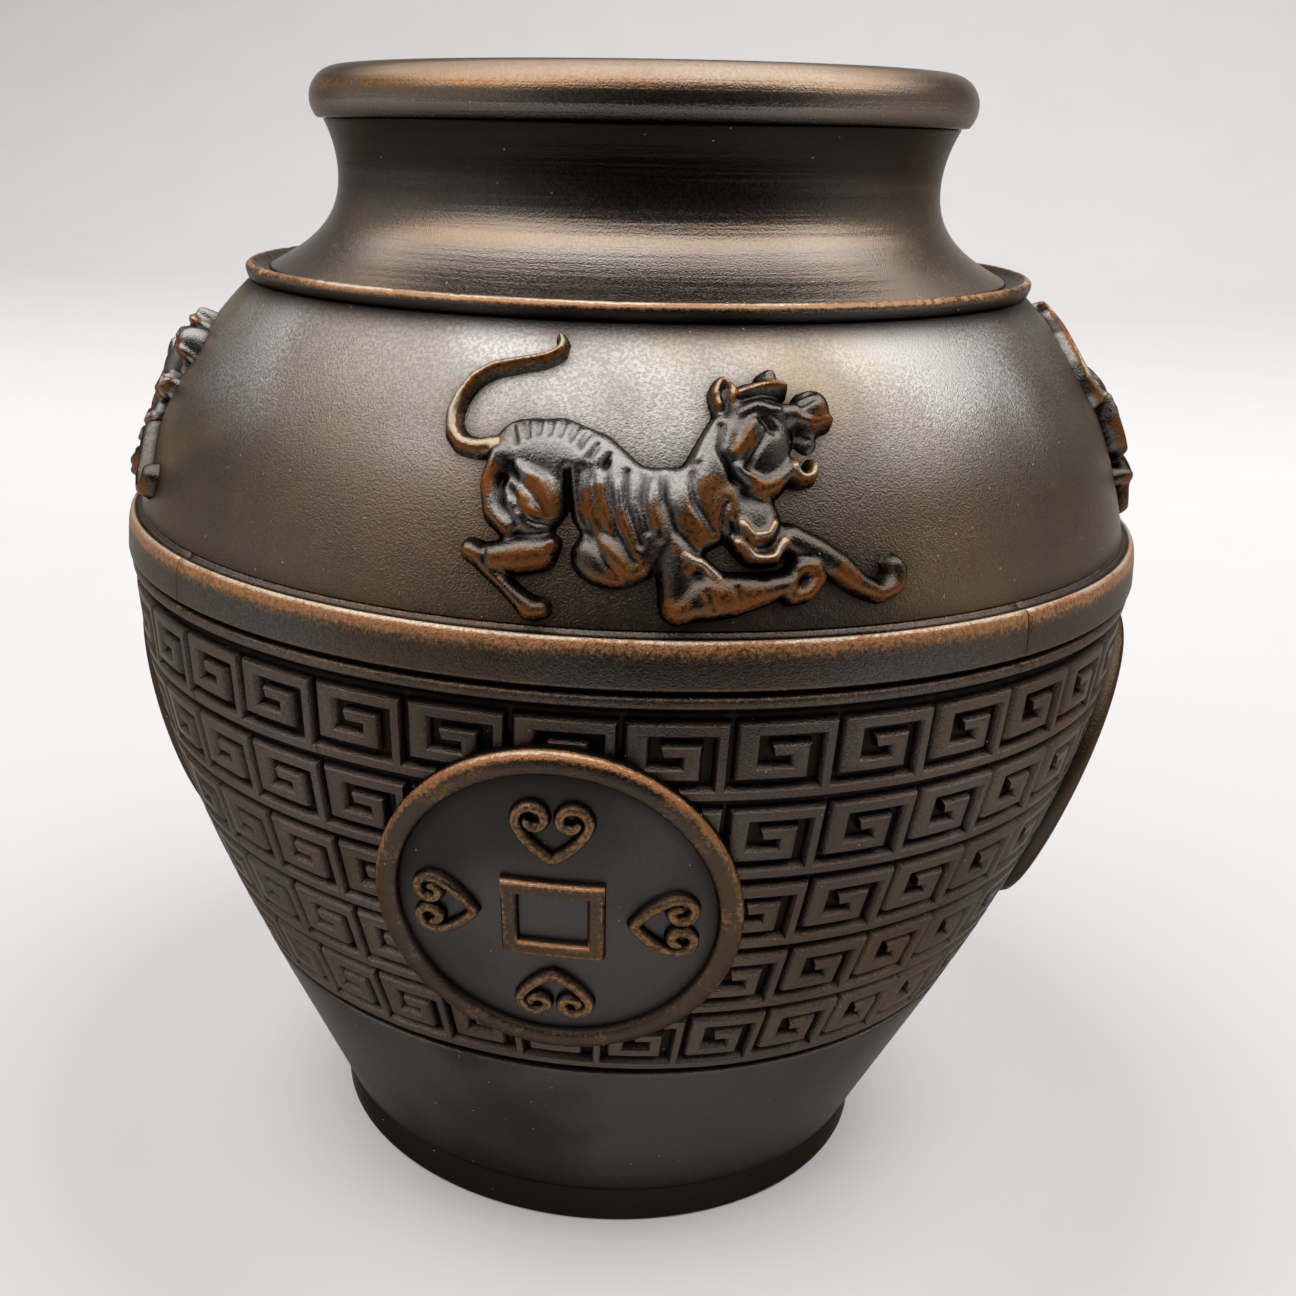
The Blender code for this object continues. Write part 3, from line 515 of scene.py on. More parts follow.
def turned(name, outline, finish, start=0.0, sweep=math.tau, change=None, steps=None):
    """Sweeps a closed outline round the axis; change may alter radius, level, wear and painted shade at each
    angle.
    """
    whole = sweep == math.tau
    if steps is None:
        steps = settings().body.ring_steps if whole else settings().body.ring_steps // QUARTERS
    shares = np.arange(steps if whole else steps + 1) / steps
    if not whole:
        groove = settings().fret.seam_angle / sweep
        shares = np.sort(np.append(shares, (groove, 1 - groove)))
    rings = len(shares)
    angles = (start + sweep * shares)[:, None]
    shape = (rings, len(outline))
    radius, level, wear_and_shade = (np.broadcast_to(column, shape).copy() for column in outline.T)
    if change:
        radius, level, wear_and_shade = change(angles, radius, level, wear_and_shade)
    faces = grid_faces(rings, len(outline), whole, True)
    if not whole:
        faces += end_caps(rings, len(outline))
    return new_object(name, around(radius, angles, level), faces, wear_and_shade, finish)


def uneven(angles, seed, waves):
    """Repeatable unevenness between -1 and 1 that closes on itself after a full turn."""
    chance = np.random.default_rng(seed)
    total = np.zeros_like(angles)
    for wave in waves:
        total += np.sin(angles * wave + chance.uniform(0, math.tau)) * chance.uniform(0.5, 1.0)
    return np.clip(total / len(waves) * 1.6, -1.0, 1.0)


class Graph:
    """Adds nodes to a node tree and links them."""

    def __init__(self, tree):
        self.tree = tree

    def feed(self, socket, value):
        """Links a socket to another, or sets its value."""
        if isinstance(value, bpy.types.NodeSocket):
            self.tree.links.new(value, socket)
        else:
            socket.default_value = value

    def add(self, kind, inputs=None, **options):
        """A new node with its options set and its inputs fed."""
        node = self.tree.nodes.new(kind)
        for name, value in options.items():
            setattr(node, name, value)
        for key, value in (inputs or {}).items():
            self.feed(node.inputs[key], value)
        return node

    def math(self, operation, first, second=0.0, clamp=False):
        node = self.add("ShaderNodeMath", {0: first, 1: second}, operation=operation, use_clamp=clamp)
        return node.outputs[0]

    def total(self, *terms):
        """The sum of (value, factor) pairs."""
        result = None
        for value, factor in terms:
            part = self.math("MULTIPLY", value, factor)
            result = part if result is None else self.math("ADD", result, part)
        return result

    def remap(self, value, low, high, to_low=0.0, to_high=1.0):
        node = self.add(
            "ShaderNodeMapRange", {0: value, 1: low, 2: high, 3: to_low, 4: to_high},
            interpolation_type="SMOOTHSTEP",
        )
        return node.outputs[0]

    def blend(self, share, first, second):
        node = self.add("ShaderNodeMix", {0: share, 6: first, 7: second}, data_type="RGBA")
        return node.outputs[2]

    def noise(self, place, scale, detail=3.0, roughness=0.55):
        inputs = {"Vector": place, "Scale": scale, "Detail": detail, "Roughness": roughness}
        return self.add("ShaderNodeTexNoise", inputs).outputs["Fac"]


def link_patina(graph, place, scale, level):
    """Cloudy mottling between thick and thin patina."""
    broad = graph.noise(place, scale, 2.0)
    fine = graph.noise(place, graph.math("MULTIPLY", scale, 7.0), 5.0, 0.65)
    tone = graph.total((broad, 0.8), (fine, 0.45))
    low = graph.math("SUBTRACT", 0.95, level)
    high = graph.math("ADD", low, 0.4)
    return (graph.remap(tone, low, high),)


def link_rub(graph, place, wear_and_shade, wear):
    """Where the patina is rubbed to brown, to bare copper and to polished crests that also carry a painted
    highlight.
    """
    wear = graph.math("MULTIPLY", graph.math("MAXIMUM", wear_and_shade, 0.0), wear)
    patches = graph.noise(place, 120.0, 2.0)
    grain = graph.noise(place, 2600.0, 3.0, 0.75)
    uneven_wear = graph.math("MULTIPLY", wear, graph.total((patches, 0.9), (grain, 1.1)))
    speckled = graph.math("ADD", uneven_wear, graph.remap(grain, 0.36, 0.64, -0.2, 0.2))
    mask = graph.math("MULTIPLY", graph.remap(wear, 0.0, 0.3), graph.remap(speckled, 0.2, 1.1))
    pitted = graph.math("ADD", uneven_wear, graph.remap(grain, 0.36, 0.64, -0.55, 0.35))
    return mask, graph.remap(pitted, 0.65, 1.8), graph.remap(uneven_wear, 1.9, 2.5)


def link_grain(graph, place, scale):
    """Fine unevenness of cast and lacquered metal, as a height and a speckle."""
    fine = graph.noise(place, scale, 2.0, 0.6)
    broad = graph.noise(place, graph.math("MULTIPLY", scale, 0.1), 2.0)
    specks = graph.noise(place, graph.math("MULTIPLY", scale, 0.6), 1.0)
    return graph.total((fine, 1.3), (broad, 0.25)), graph.remap(specks, 0.4, 0.64)


def link_turning(graph, place):
    """Fine level lines left by turning, and broader streaks left by wiping."""
    fine, broad = (
        graph.add("ShaderNodeVectorMath", {0: place, 1: stretch}, operation="MULTIPLY").outputs[0]
        for stretch in ((18.0, 18.0, 900.0), (14.0, 14.0, 330.0))
    )
    lines = graph.noise(fine, 1.0, 3.0, 0.6)
    bands = graph.noise(broad, 1.0, 2.0, 0.5)
    return lines, graph.remap(bands, 0.42, 0.68)


def link_dust(graph, place, amount):
    """Sparse pale specks."""
    cells = graph.add("ShaderNodeTexVoronoi", {"Vector": place, "Scale": 1500.0})
    chance = graph.add("ShaderNodeSeparateColor", {"Color": cells.outputs["Color"]}).outputs["Red"]
    chosen = graph.math("LESS_THAN", chance, graph.math("MULTIPLY", amount, 0.28))
    speck = graph.remap(cells.outputs["Distance"], 0.14, 0.06)
    return (graph.math("MULTIPLY", chosen, speck),)


# The shared effects: what links their nodes, the values they take beside a place, and what they put out
EFFECTS = {
    "Patina mottling": (link_patina, {"Scale": 30.0, "Level": 0.5}, ("Tone",)),
    "Copper rub": (link_rub, {"Rub": 0.0, "Wear": 1.0}, ("Mask", "Bare", "Polish and highlight")),
    "Cast grain": (link_grain, {"Scale": 6000.0}, ("Height", "Speckle")),
    "Turning marks": (link_turning, {}, ("Height", "Streak")),
    "Dust specks": (link_dust, {"Amount": 0.3}, ("Mask",)),
}


def effect_group(name):
    """The shader node group of a shared effect, made on first use."""
    if name in bpy.data.node_groups:
        return bpy.data.node_groups[name]
    link_nodes, values, outputs = EFFECTS[name]
    tree = bpy.data.node_groups.new(name, "ShaderNodeTree")
    tree.interface.new_socket("Place", in_out="INPUT", socket_type="NodeSocketVector")
    for label, default in values.items():
        socket = tree.interface.new_socket(label, in_out="INPUT", socket_type="NodeSocketFloat")
        socket.default_value = default
    for label in outputs:
        tree.interface.new_socket(label, in_out="OUTPUT", socket_type="NodeSocketFloat")
    graph = Graph(tree)
    given = graph.add("NodeGroupInput").outputs
    result = graph.add("NodeGroupOutput").inputs
    linked = link_nodes(graph, given["Place"], *(given[label] for label in values))
    for label, value in zip(outputs, linked):
        graph.feed(result[label], value)
    return tree


def effect(graph, name, **inputs):
    """The outputs of a node that holds a shared effect."""
    return graph.add("ShaderNodeGroup", inputs, node_tree=effect_group(name)).outputs


class Finish(NamedTuple):
    """How one finish mixes the shared effects."""

    level: float  # how much of the patina is thin
    scale: float  # noise scale of the patina's clouds
    shade: float  # how light the patina is
    grain: float  # strength of the cast grain
    dust: float  # amount of dust
    turning: float = 0.0  # strength of the turning marks
    streak: float = 0.0  # strength of the wiped streaks
    gold: float = 0.0  # strength of the patches wiped to gold
    rough: float = 0.0  # added to the roughness
    # The grey bloom is partly a painted sheen: it begins at the given height and lightens the surfaces above
    # it.
    bloom_and_sheen: float = 0.2  # strength of the grey bloom
    sheen_level: float = 0.0  # height at which the bloom begins, in metres
    worn: float = 1.0  # how light rubbed and bare copper are
    tan: float = 0.0  # share of the polished colour in bare copper
    edge: float = 1.0  # strength of the sheen at a glancing view
    # Polished crests double as painted highlights.
    crest_highlight: float = 1.0  # how light polished crests are


FINISHES = {
    "patina_turned": Finish(
        level=0.40, scale=26.0, shade=1.0, grain=0.2, dust=0.25, turning=0.7, streak=0.45, rough=-0.07,
        worn=0.9, tan=0.1, crest_highlight=0.9,
    ),
    "patina_shoulder": Finish(
        level=0.44, scale=30.0, shade=0.78, grain=0.4, dust=0.4, turning=0.05, streak=0.10, gold=0.6,
        bloom_and_sheen=1.3, sheen_level=0.076,
    ),
    "patina_bowl": Finish(
        level=0.05, scale=24.0, shade=0.15, grain=0.1, dust=0.2, turning=0.22, streak=0.2, rough=0.08,
        bloom_and_sheen=0.9,
    ),
    "fret_brown": Finish(level=0.38, scale=60.0, shade=0.38, grain=0.5, dust=0.2, rough=0.05, tan=0.2),
    "coin_field": Finish(level=0.02, scale=50.0, shade=0.13, grain=0.12, dust=0.2, rough=0.08, bloom_and_sheen=0.95),
    "coin_relief": Finish(
        level=0.45, scale=70.0, shade=0.36, grain=0.45, dust=0.1, rough=0.03, bloom_and_sheen=0.0, tan=0.08, edge=0.8,
    ),
    "tiger_relief": Finish(
        level=0.3, scale=70.0, shade=0.44, grain=0.3, dust=0.1, rough=-0.03, bloom_and_sheen=1.25, sheen_level=0.071,
        worn=0.46, tan=0.03, edge=0.45, crest_highlight=0.64,
    ),
    "collar_edge": Finish(
        level=0.3, scale=70.0, shade=0.44, grain=0.3, dust=0.1, rough=-0.03, bloom_and_sheen=0.4, sheen_level=0.071,
        worn=0.85, tan=0.3, edge=0.8, crest_highlight=0.95,
    ),
}


def opaque(colour, lightness=1.0):
    """A colour with full alpha, lighter or darker by a factor."""
    return (*(lightness * Vector(colour)), 1.0)


def patina_colour(graph, look, place, tone, speckle):
    """Dark to brown patina under a grey bloom that rises with height as a painted sheen, wiped to gold in
    places.
    """
    finish = settings().finish
    sheen_rise = 0.012
    level = graph.add("ShaderNodeSeparateXYZ", {0: place}).outputs["Z"]
    # Painted sheen: the bloom grows over a band of height, so upper surfaces are lighter.
    risen = graph.remap(level, look.sheen_level, look.sheen_level + sheen_rise)
    clouds = graph.remap(graph.noise(place, 42.0, 2.0), 0.36, 0.6, 0.25 * look.bloom_and_sheen, look.bloom_and_sheen)
    speckled = graph.remap(speckle, 0.0, 1.0, 1 - 0.7 * look.grain, 1 + 0.7 * look.grain)
    bloom_and_sheen_share = graph.math("MULTIPLY", graph.math("MULTIPLY", risen, clouds), speckled)
    wiped = graph.math("MULTIPLY", graph.remap(graph.noise(place, 34.0, 3.0), 0.52, 0.66), look.gold)
    colour = graph.blend(tone, opaque(finish.dark, look.shade), opaque(finish.brown, look.shade))
    colour = graph.blend(bloom_and_sheen_share, colour, opaque(finish.bloom_and_sheen, look.shade))
    return graph.blend(wiped, colour, opaque(finish.gold))


def copper(name):
    """One of the copper finishes, made on first use."""
    if name in bpy.data.materials:
        return bpy.data.materials[name]
    look = FINISHES[name]
    finish = settings().finish
    material = bpy.data.materials.new(name)
    material.use_nodes = True
    graph = Graph(material.node_tree)
    place = graph.add("ShaderNodeTexCoord").outputs["Object"]
    wear_and_shade = graph.add("ShaderNodeAttribute", attribute_name="wear_and_shade").outputs["Fac"]
    key_tone = graph.add("ShaderNodeAttribute", attribute_name="key_tone").outputs["Fac"]
    patina = effect(graph, "Patina mottling", Place=place, Scale=look.scale, Level=look.level)["Tone"]
    worn = effect(graph, "Copper rub", Place=place, Rub=wear_and_shade, Wear=finish.wear)
    grain = effect(graph, "Cast grain", Place=place)
    marks = effect(graph, "Turning marks", Place=place)
    dust = effect(graph, "Dust specks", Place=place, Amount=look.dust)["Mask"]
    # Painted shade: share of the near-black groove colour where the attribute falls below 0.
    shade_share = graph.math("MULTIPLY", wear_and_shade, -0.97, clamp=True)
    speckle = grain["Speckle"]

    tone = graph.total((patina, 0.8), (marks["Streak"], look.streak), (speckle, 0.3), (key_tone, 0.35))
    colour = patina_colour(graph, look, place, tone, speckle)
    bare_copper = Vector(finish.bare_copper).lerp(Vector(finish.polish_and_highlight), look.tan)
    layers = (
        (shade_share, opaque(finish.groove)),
        (worn["Mask"], opaque(finish.rubbed, look.worn)),
        (worn["Bare"], opaque(bare_copper, look.worn)),
        (worn["Polish and highlight"], opaque(finish.polish_and_highlight, look.crest_highlight)),
        (dust, opaque(finish.dust)),
    )
    for share, layer in layers:
        colour = graph.blend(share, colour, layer)
    roughness = graph.total(
        (speckle, 0.06), (patina, 0.06), (shade_share, 0.08), (dust, 0.4), (worn["Bare"], 0.12),
    )
    metallic = graph.total(
        (worn["Mask"], -0.1), (worn["Bare"], -0.55), (worn["Polish and highlight"], 0.6), (dust, -0.9),
    )
    height = graph.total((grain["Height"], look.grain), (marks["Height"], look.turning))
    bump = graph.add("ShaderNodeBump", {"Height": height, "Strength": 0.6, "Distance": 0.0002})

    principled = material.node_tree.nodes["Principled BSDF"].inputs
    graph.feed(principled["Base Color"], colour)
    graph.feed(principled["Roughness"], graph.math("ADD", roughness, finish.roughness + look.rough))
    graph.feed(principled["Metallic"], graph.math("ADD", metallic, 1.0, clamp=True))
    graph.feed(principled["Normal"], bump.outputs["Normal"])
    principled["Specular IOR Level"].default_value = 0.1
    principled["Specular Tint"].default_value = opaque(finish.edge_tint, look.edge)
    principled["IOR"].default_value = 2.0
    return material


class JAR_OT_rim(bpy.types.Operator):
    """Turns the bead round the mouth"""

    bl_idname = "copper_jar.rim"
    bl_label = "Mouth rim"

    def execute(self, context):
        middle, middle_level, half_height = 28.7, 106.5, 2.8
        half_width = settings().body.rim_radius / MM - middle
        turns = np.linspace(math.radians(-41), math.radians(151.6), 48)
        degrees = np.degrees(turns)
        # Painted shade on the bead's lower half and on the foot under it; rubbed bands above.
        bead = np.column_stack([
            (middle + half_width * np.cos(turns)) * MM,
            (middle_level + half_height * np.sin(turns)) * MM,
            0.06 + 0.2 * hump(degrees, 75, 18) + 0.62 * hump(degrees, 18, 16) - 0.9 * hump(degrees, -42, 30),
        ])
        foot = corner_rows((27.85, 104.6, -0.9), (30.3, 104.6, -0.9), (30.6, 104.62, -0.9))
        inside = corner_rows((26.2, 106.05, 0), (27.85, 106.05, 0))

        def handled(angles, radius, level, wear_and_shade):
            return radius, level, np.where(wear_and_shade > 0, wear_and_shade * (0.75 + 0.6 * np.cos(angles + 0.9)), wear_and_shade)

        outline = softened(np.vstack([foot, bead, inside]))
        rim = turned("mouth_rim_look", outline, copper("patina_turned"), change=handled)
        place_piece(rim, "patina_copper", "mouth_rim")
        return {"FINISHED"}


class JAR_OT_neck(bpy.types.Operator):
    """Turns the waisted neck with its flange"""

    bl_idname = "copper_jar.neck"
    bl_label = "Neck"

    def execute(self, context):
        top, waist, waist_radius = 104.56, 99.3, 28.88
        levels = np.linspace(top, waist, 20)
        # Painted shade: the upper neck is darkened almost to black, fading out down the sweep, and the
        # mouth's edge too.
        flare = np.column_stack([
            (waist_radius + 1.22 * ((levels - waist) / 5.0) ** 2) * MM,
            levels * MM,
            np.interp(levels, (waist, 101.0, top), (-0.72, -0.95, -1.0)),
        ])
        sweep = curve_rows(NECK_SWEEP, 36)[1:]
        shares = np.linspace(0.0, 1.0, len(sweep))
        sweep[:, 2] = np.interp(shares, (0.0, 0.16, 0.34, 0.85, 1.0), (-0.72, -0.35, 0.0, 0.0, 0.3))
        spigot = corner_rows((35.55, 90.05, 0), (32.7, 90.05, 0), (32.7, 87.6, 0))
        bore = curve_rows(NECK_INSIDE, 16)
        mouth = corner_rows((26.2, 106.0, 0), (27.8, 106.0, 0), (27.8, top, -0.75))
        outline = softened(np.vstack([flare, sweep, spigot, bore, mouth]))
        neck = turned("neck_look", outline, copper("patina_turned"))
        place_piece(neck, "patina_copper", "neck")
        return {"FINISHED"}


class JAR_OT_collar(bpy.types.Operator):
    """Turns the collar and chips its lip"""

    bl_idname = "copper_jar.collar"
    bl_label = "Collar"

    def execute(self, context):
        body = settings().body
        lip_level, lip_rise = 0.0910, 0.0005
        edge_radius, edge_width = 0.0370, 0.0006
        outer = body.collar_radius / MM
        # The lip's top is polished with a painted highlight; its outer face and the corner by the neck carry
        # painted shade.
        outline = softened(corner_rows(
            (35.58, 91.02, -0.5), (36.55, 91.08, 0.0), (37.05, 91.5, 0.5), (outer - 0.4, 91.62, 2.7),
            (outer, 91.25, 1.5), (outer - 0.02, 90.85, -0.6), (outer - 0.3, 90.06, -0.95),
            (35.58, 90.06, 0.0),
        ))

        def chip(angles, radius, level, wear_and_shade):
            dents = np.maximum(uneven(angles, 3, (17, 31, 43, 71, 89, 113, 151, 197, 233)), 0.0)
            dents = dents * (0.5 + 0.9 * np.maximum(uneven(angles, 5, (3, 7, 11, 19)), -0.4))
            lip = np.clip((level - lip_level) / lip_rise, 0.0, 1.0)
            edge = np.clip((radius - edge_radius) / edge_width, 0.0, 1.0)
            fade = 0.75 + 0.45 * uneven(angles, 8, (2, 3, 7, 13, 19))
            return (
                radius - body.chip_depth * dents * edge * lip * 1.2,
                level - body.chip_depth * dents * lip,
                np.where(wear_and_shade > 0, wear_and_shade * fade, wear_and_shade),
            )

        collar = turned("collar_ring_look", outline, copper("collar_edge"), change=chip, steps=900)
        place_piece(collar, "patina_copper", "collar_ring")
        return {"FINISHED"}


class JAR_OT_shoulder(bpy.types.Operator):
    """Turns the domed shoulder, with painted shade under the collar, along its foot and round the tigers"""

    bl_idname = "copper_jar.shoulder"
    bl_label = "Shoulder"

    def execute(self, context):
        length, steps = SHOULDER.along[-1], 72
        collar_shade_reach, belt_shade_reach = 0.0017, 0.0008
        dome = SHOULDER.stretch(0.0, length, steps)
        tongue = corner_rows((46.9, 68.9, 0), (46.9, 66.5, 0))
        inside = curve_rows(SHOULDER_INSIDE, 16)
        outline = np.vstack([dome, tongue, inside, corner_rows((33.0, 90.0, 0))])
        halo = TigerDrawing().halo
        unseen = np.full(len(outline) - len(dome), -1.0)
        places = np.concatenate([length * np.linspace(0, 1, steps + 1), unseen])

        # Painted shade: dark under the collar's lip, along the foot where the shoulder meets the belt, and
        # as a shadow round each tiger.
        def darken(angles, radius, level, wear_and_shade):
            near_top = hump(places, 0.0, collar_shade_reach)
            near_foot = np.exp(-(length - places) / belt_shade_reach)
            painted_shade = 0.97 * near_top + 0.45 * near_foot + 0.75 * halo(angles, places[None, :])
            return radius, level, np.where(places >= 0, -painted_shade, wear_and_shade)

        shoulder = turned("shoulder_look", outline, copper("patina_shoulder"), change=darken)
        place_piece(shoulder, "patina_copper", "shoulder")
        return {"FINISHED"}


def panel_outline():
    """Belt, moulding and the fret's ground, then the panel's inner face."""
    ground_top, ground_foot, thickness = 0.0016, 0.0419, 0.0026
    outer = settings().body.belt_radius / MM
    depth = settings().fret.depth
    # Painted shade in the grooves, on the fret's ground and at the shoulder's foot; the belt's crest is
    # polished with a painted highlight, and the fillet and moulding crests are lightened as painted
    # highlights.
    belt = corner_rows(
        (48.5, 68.82, 0.2), (48.66, 68.7, 0.5), (48.82, 68.46, 0.1), (49.1, 68.36, -0.3), (49.36, 68.4, 0.1),
        (49.56, 68.44, 2.6), (49.74, 68.34, 2.3), (49.88, 68.06, 1.3), (49.98, 67.66, 1.15),
        (50.05, 67.2, 0.5), (50.1, 66.6, 0.12), (outer, 64.95, 0.05), (outer - 0.05, 64.65, 0.35),
        (49.3, 64.38, -0.9), (49.3, 64.15, -0.9), (49.85, 63.92, 0.35), (49.93, 63.6, 0.3),
        (49.87, 63.12, 0.15), (49.25, 62.85, -0.9),
    )
    ground = WALL.stretch(ground_top, ground_foot, 44, -depth, -0.9)
    inside = WALL.stretch(ground_foot, ground_top, 20, -thickness)
    return np.vstack([belt, ground, inside, corner_rows((47.2, 66.0, 0), (47.2, 68.82, 0))])


def key_object():
    """One key of the fret as a small mesh: x across, y up the wall and z off it, in cells and metres."""
    # Each level is (reach, height, wear and painted shade): painted shade at the foot of the stroke, slight
    # wear on its edge.
    levels = ((0.36, -0.00085, -0.95), (0.11, -0.00017, 0.25), (-0.05, 0.0, 0.1))
    points, faces, wear_and_shade_values = [], [], []
    for line in (KEY_STROKE, KEY_BAR):
        first = len(points)
        for outer, inner in np.array(line):
            across = outer - inner
            rib = [(outer + across * reach, height, wear_and_shade) for reach, height, wear_and_shade in levels]
            rib += [(inner - across * reach, height, wear_and_shade) for reach, height, wear_and_shade in reversed(levels)]
            for (u, v), height, wear_and_shade in rib:
                points.append((u, -v, height))
                wear_and_shade_values.append(wear_and_shade)
        width = 2 * len(levels)
        faces += [[first + corner for corner in quad] for quad in grid_faces(len(line), width, False, False)]
        faces.append(list(range(first, first + width)))
        faces.append(list(range(len(points) - width, len(points))))
    return new_object("fret_key", points, faces, wear_and_shade_values, copper("fret_brown"))


FRET_INPUTS = (
    ("Key", "NodeSocketObject"), ("Material", "NodeSocketMaterial"), ("Columns", "NodeSocketInt"),
    ("Rows", "NodeSocketInt"), ("Start Angle", "NodeSocketFloat"), ("Column Angle", "NodeSocketFloat"),
    ("Row Start", "NodeSocketFloat"), ("Row Pitch", "NodeSocketFloat"), ("Row Growth", "NodeSocketFloat"),
    ("Coin Column", "NodeSocketFloat"), ("Coin Row", "NodeSocketFloat"), ("Coin Columns", "NodeSocketFloat"),
    ("Coin Rows", "NodeSocketFloat"), ("Unevenness", "NodeSocketFloat"), ("Seed", "NodeSocketInt"),
)


def fret_tree():
    """Geometry nodes that lay keys over a panel, but not under its coin, and bend them to the wall."""
    name = "Key fret"
    if name in bpy.data.node_groups:
        return bpy.data.node_groups[name]
    tree = bpy.data.node_groups.new(name, "GeometryNodeTree")
    tree.interface.new_socket("Geometry", in_out="INPUT", socket_type="NodeSocketGeometry")
    for label, kind in FRET_INPUTS:
        tree.interface.new_socket(label, in_out="INPUT", socket_type=kind)
    tree.interface.new_socket("Geometry", in_out="OUTPUT", socket_type="NodeSocketGeometry")
    graph = Graph(tree)
    given = graph.add("NodeGroupInput").outputs
    result = graph.add("NodeGroupOutput")

    index = graph.add("GeometryNodeInputIndex").outputs[0]
    column = graph.math("FLOORED_MODULO", index, given["Columns"])
    row = graph.math("FLOOR", graph.math("DIVIDE", index, given["Columns"]))
    corner = graph.add("ShaderNodeCombineXYZ", {"X": column, "Y": graph.math("MULTIPLY", row, -1.0)})
    count = graph.math("MULTIPLY", given["Columns"], given["Rows"])
    cells = graph.add("GeometryNodePoints", {"Count": count, "Position": corner.outputs[0]})

    def reach(cell, middle, half):
        """How far the farthest edge of a cell lies from the coin's middle, in coin halves, squared."""
        gap = graph.math("ABSOLUTE", graph.math("SUBTRACT", graph.math("ADD", cell, 0.5), middle))
        return graph.math("POWER", graph.math("DIVIDE", graph.math("ADD", gap, 0.5), half), 2.0)

    far = graph.math(
        "ADD",
        reach(column, given["Coin Column"], given["Coin Columns"]),
        reach(row, given["Coin Row"], given["Coin Rows"]),
    )
    keys = graph.add("GeometryNodeInstanceOnPoints", {
        "Points": cells.outputs[0],
        "Selection": graph.math("GREATER_THAN", far, 1.0),
        "Instance": graph.add("GeometryNodeObjectInfo", {"Object": given["Key"]}).outputs["Geometry"],
    })
    chance = graph.add(
        "FunctionNodeRandomValue", {2: 0.0, 3: 1.0, "ID": index, "Seed": given["Seed"]}, data_type="FLOAT"
    ).outputs[1]
    toned = graph.add(
        "GeometryNodeStoreNamedAttribute",
        {"Geometry": keys.outputs[0], "Name": "key_tone", "Value": chance},
        domain="INSTANCE", data_type="FLOAT",
    )
    loose = graph.add("GeometryNodeRealizeInstances", {"Geometry": toned.outputs[0]})

    position = graph.add("GeometryNodeInputPosition").outputs[0]
    place = graph.add("ShaderNodeSeparateXYZ", {0: position}).outputs
    down = graph.math("MULTIPLY", place["Y"], -1.0)
    even = graph.math("MULTIPLY", down, given["Row Pitch"])
    grown = graph.math("MULTIPLY", graph.math("POWER", down, 2.0), given["Row Growth"])
    along = graph.math("ADD", given["Row Start"], graph.math("ADD", even, grown))
    handles = [(radius * MM, 0.0, level * MM) for radius, level in WALL_CURVE]
    wall = graph.add("GeometryNodeCurvePrimitiveBezierSegment", {
        "Resolution": 128, "Start": handles[0], "Start Handle": handles[1], "End Handle": handles[2],
        "End": handles[3],
    }, mode="POSITION")
    spot = graph.add(
        "GeometryNodeSampleCurve", {"Curves": wall.outputs[0], "Length": along}, mode="LENGTH",
        use_all_curves=True,
    ).outputs
    on_wall = graph.add("ShaderNodeSeparateXYZ", {0: spot["Position"]}).outputs
    slope = graph.add("ShaderNodeSeparateXYZ", {0: spot["Tangent"]}).outputs
    tone = graph.add("GeometryNodeInputNamedAttribute", {"Name": "key_tone"}, data_type="FLOAT").outputs[0]
    sink = graph.math("MULTIPLY", tone, given["Unevenness"])
    height = graph.math("SUBTRACT", place["Z"], sink)
    radius = graph.math("SUBTRACT", on_wall["X"], graph.math("MULTIPLY", slope["Z"], height))
    level = graph.math("ADD", on_wall["Z"], graph.math("MULTIPLY", slope["X"], height))
    turn = graph.math("ADD", given["Start Angle"], graph.math("MULTIPLY", place["X"], given["Column Angle"]))
    bent = graph.add("ShaderNodeCombineXYZ", {
        "X": graph.math("MULTIPLY", radius, graph.math("SINE", turn)),
        "Y": graph.math("MULTIPLY", graph.math("MULTIPLY", radius, graph.math("COSINE", turn)), -1.0),
        "Z": level,
    })
    laid = graph.add("GeometryNodeSetPosition", {"Geometry": loose.outputs[0], "Position": bent.outputs[0]})
    joined = graph.add("GeometryNodeJoinGeometry")
    graph.feed(joined.inputs[0], laid.outputs[0])
    graph.feed(joined.inputs[0], given["Geometry"])
    painted = graph.add(
        "GeometryNodeSetMaterial", {"Geometry": joined.outputs[0], "Material": given["Material"]}
    )
    graph.feed(result.inputs[0], painted.outputs[0])
    return tree


def settle(piece):
    """Turns a piece's Geometry Nodes into plain mesh."""
    evaluated = piece.evaluated_get(bpy.context.evaluated_depsgraph_get())
    mesh = bpy.data.meshes.new_from_object(evaluated)
    piece.modifiers.clear()
    piece.data = mesh
    mesh.polygons.foreach_set("use_smooth", [True] * len(mesh.polygons))
    mesh.set_sharp_from_angle(angle=math.radians(48))


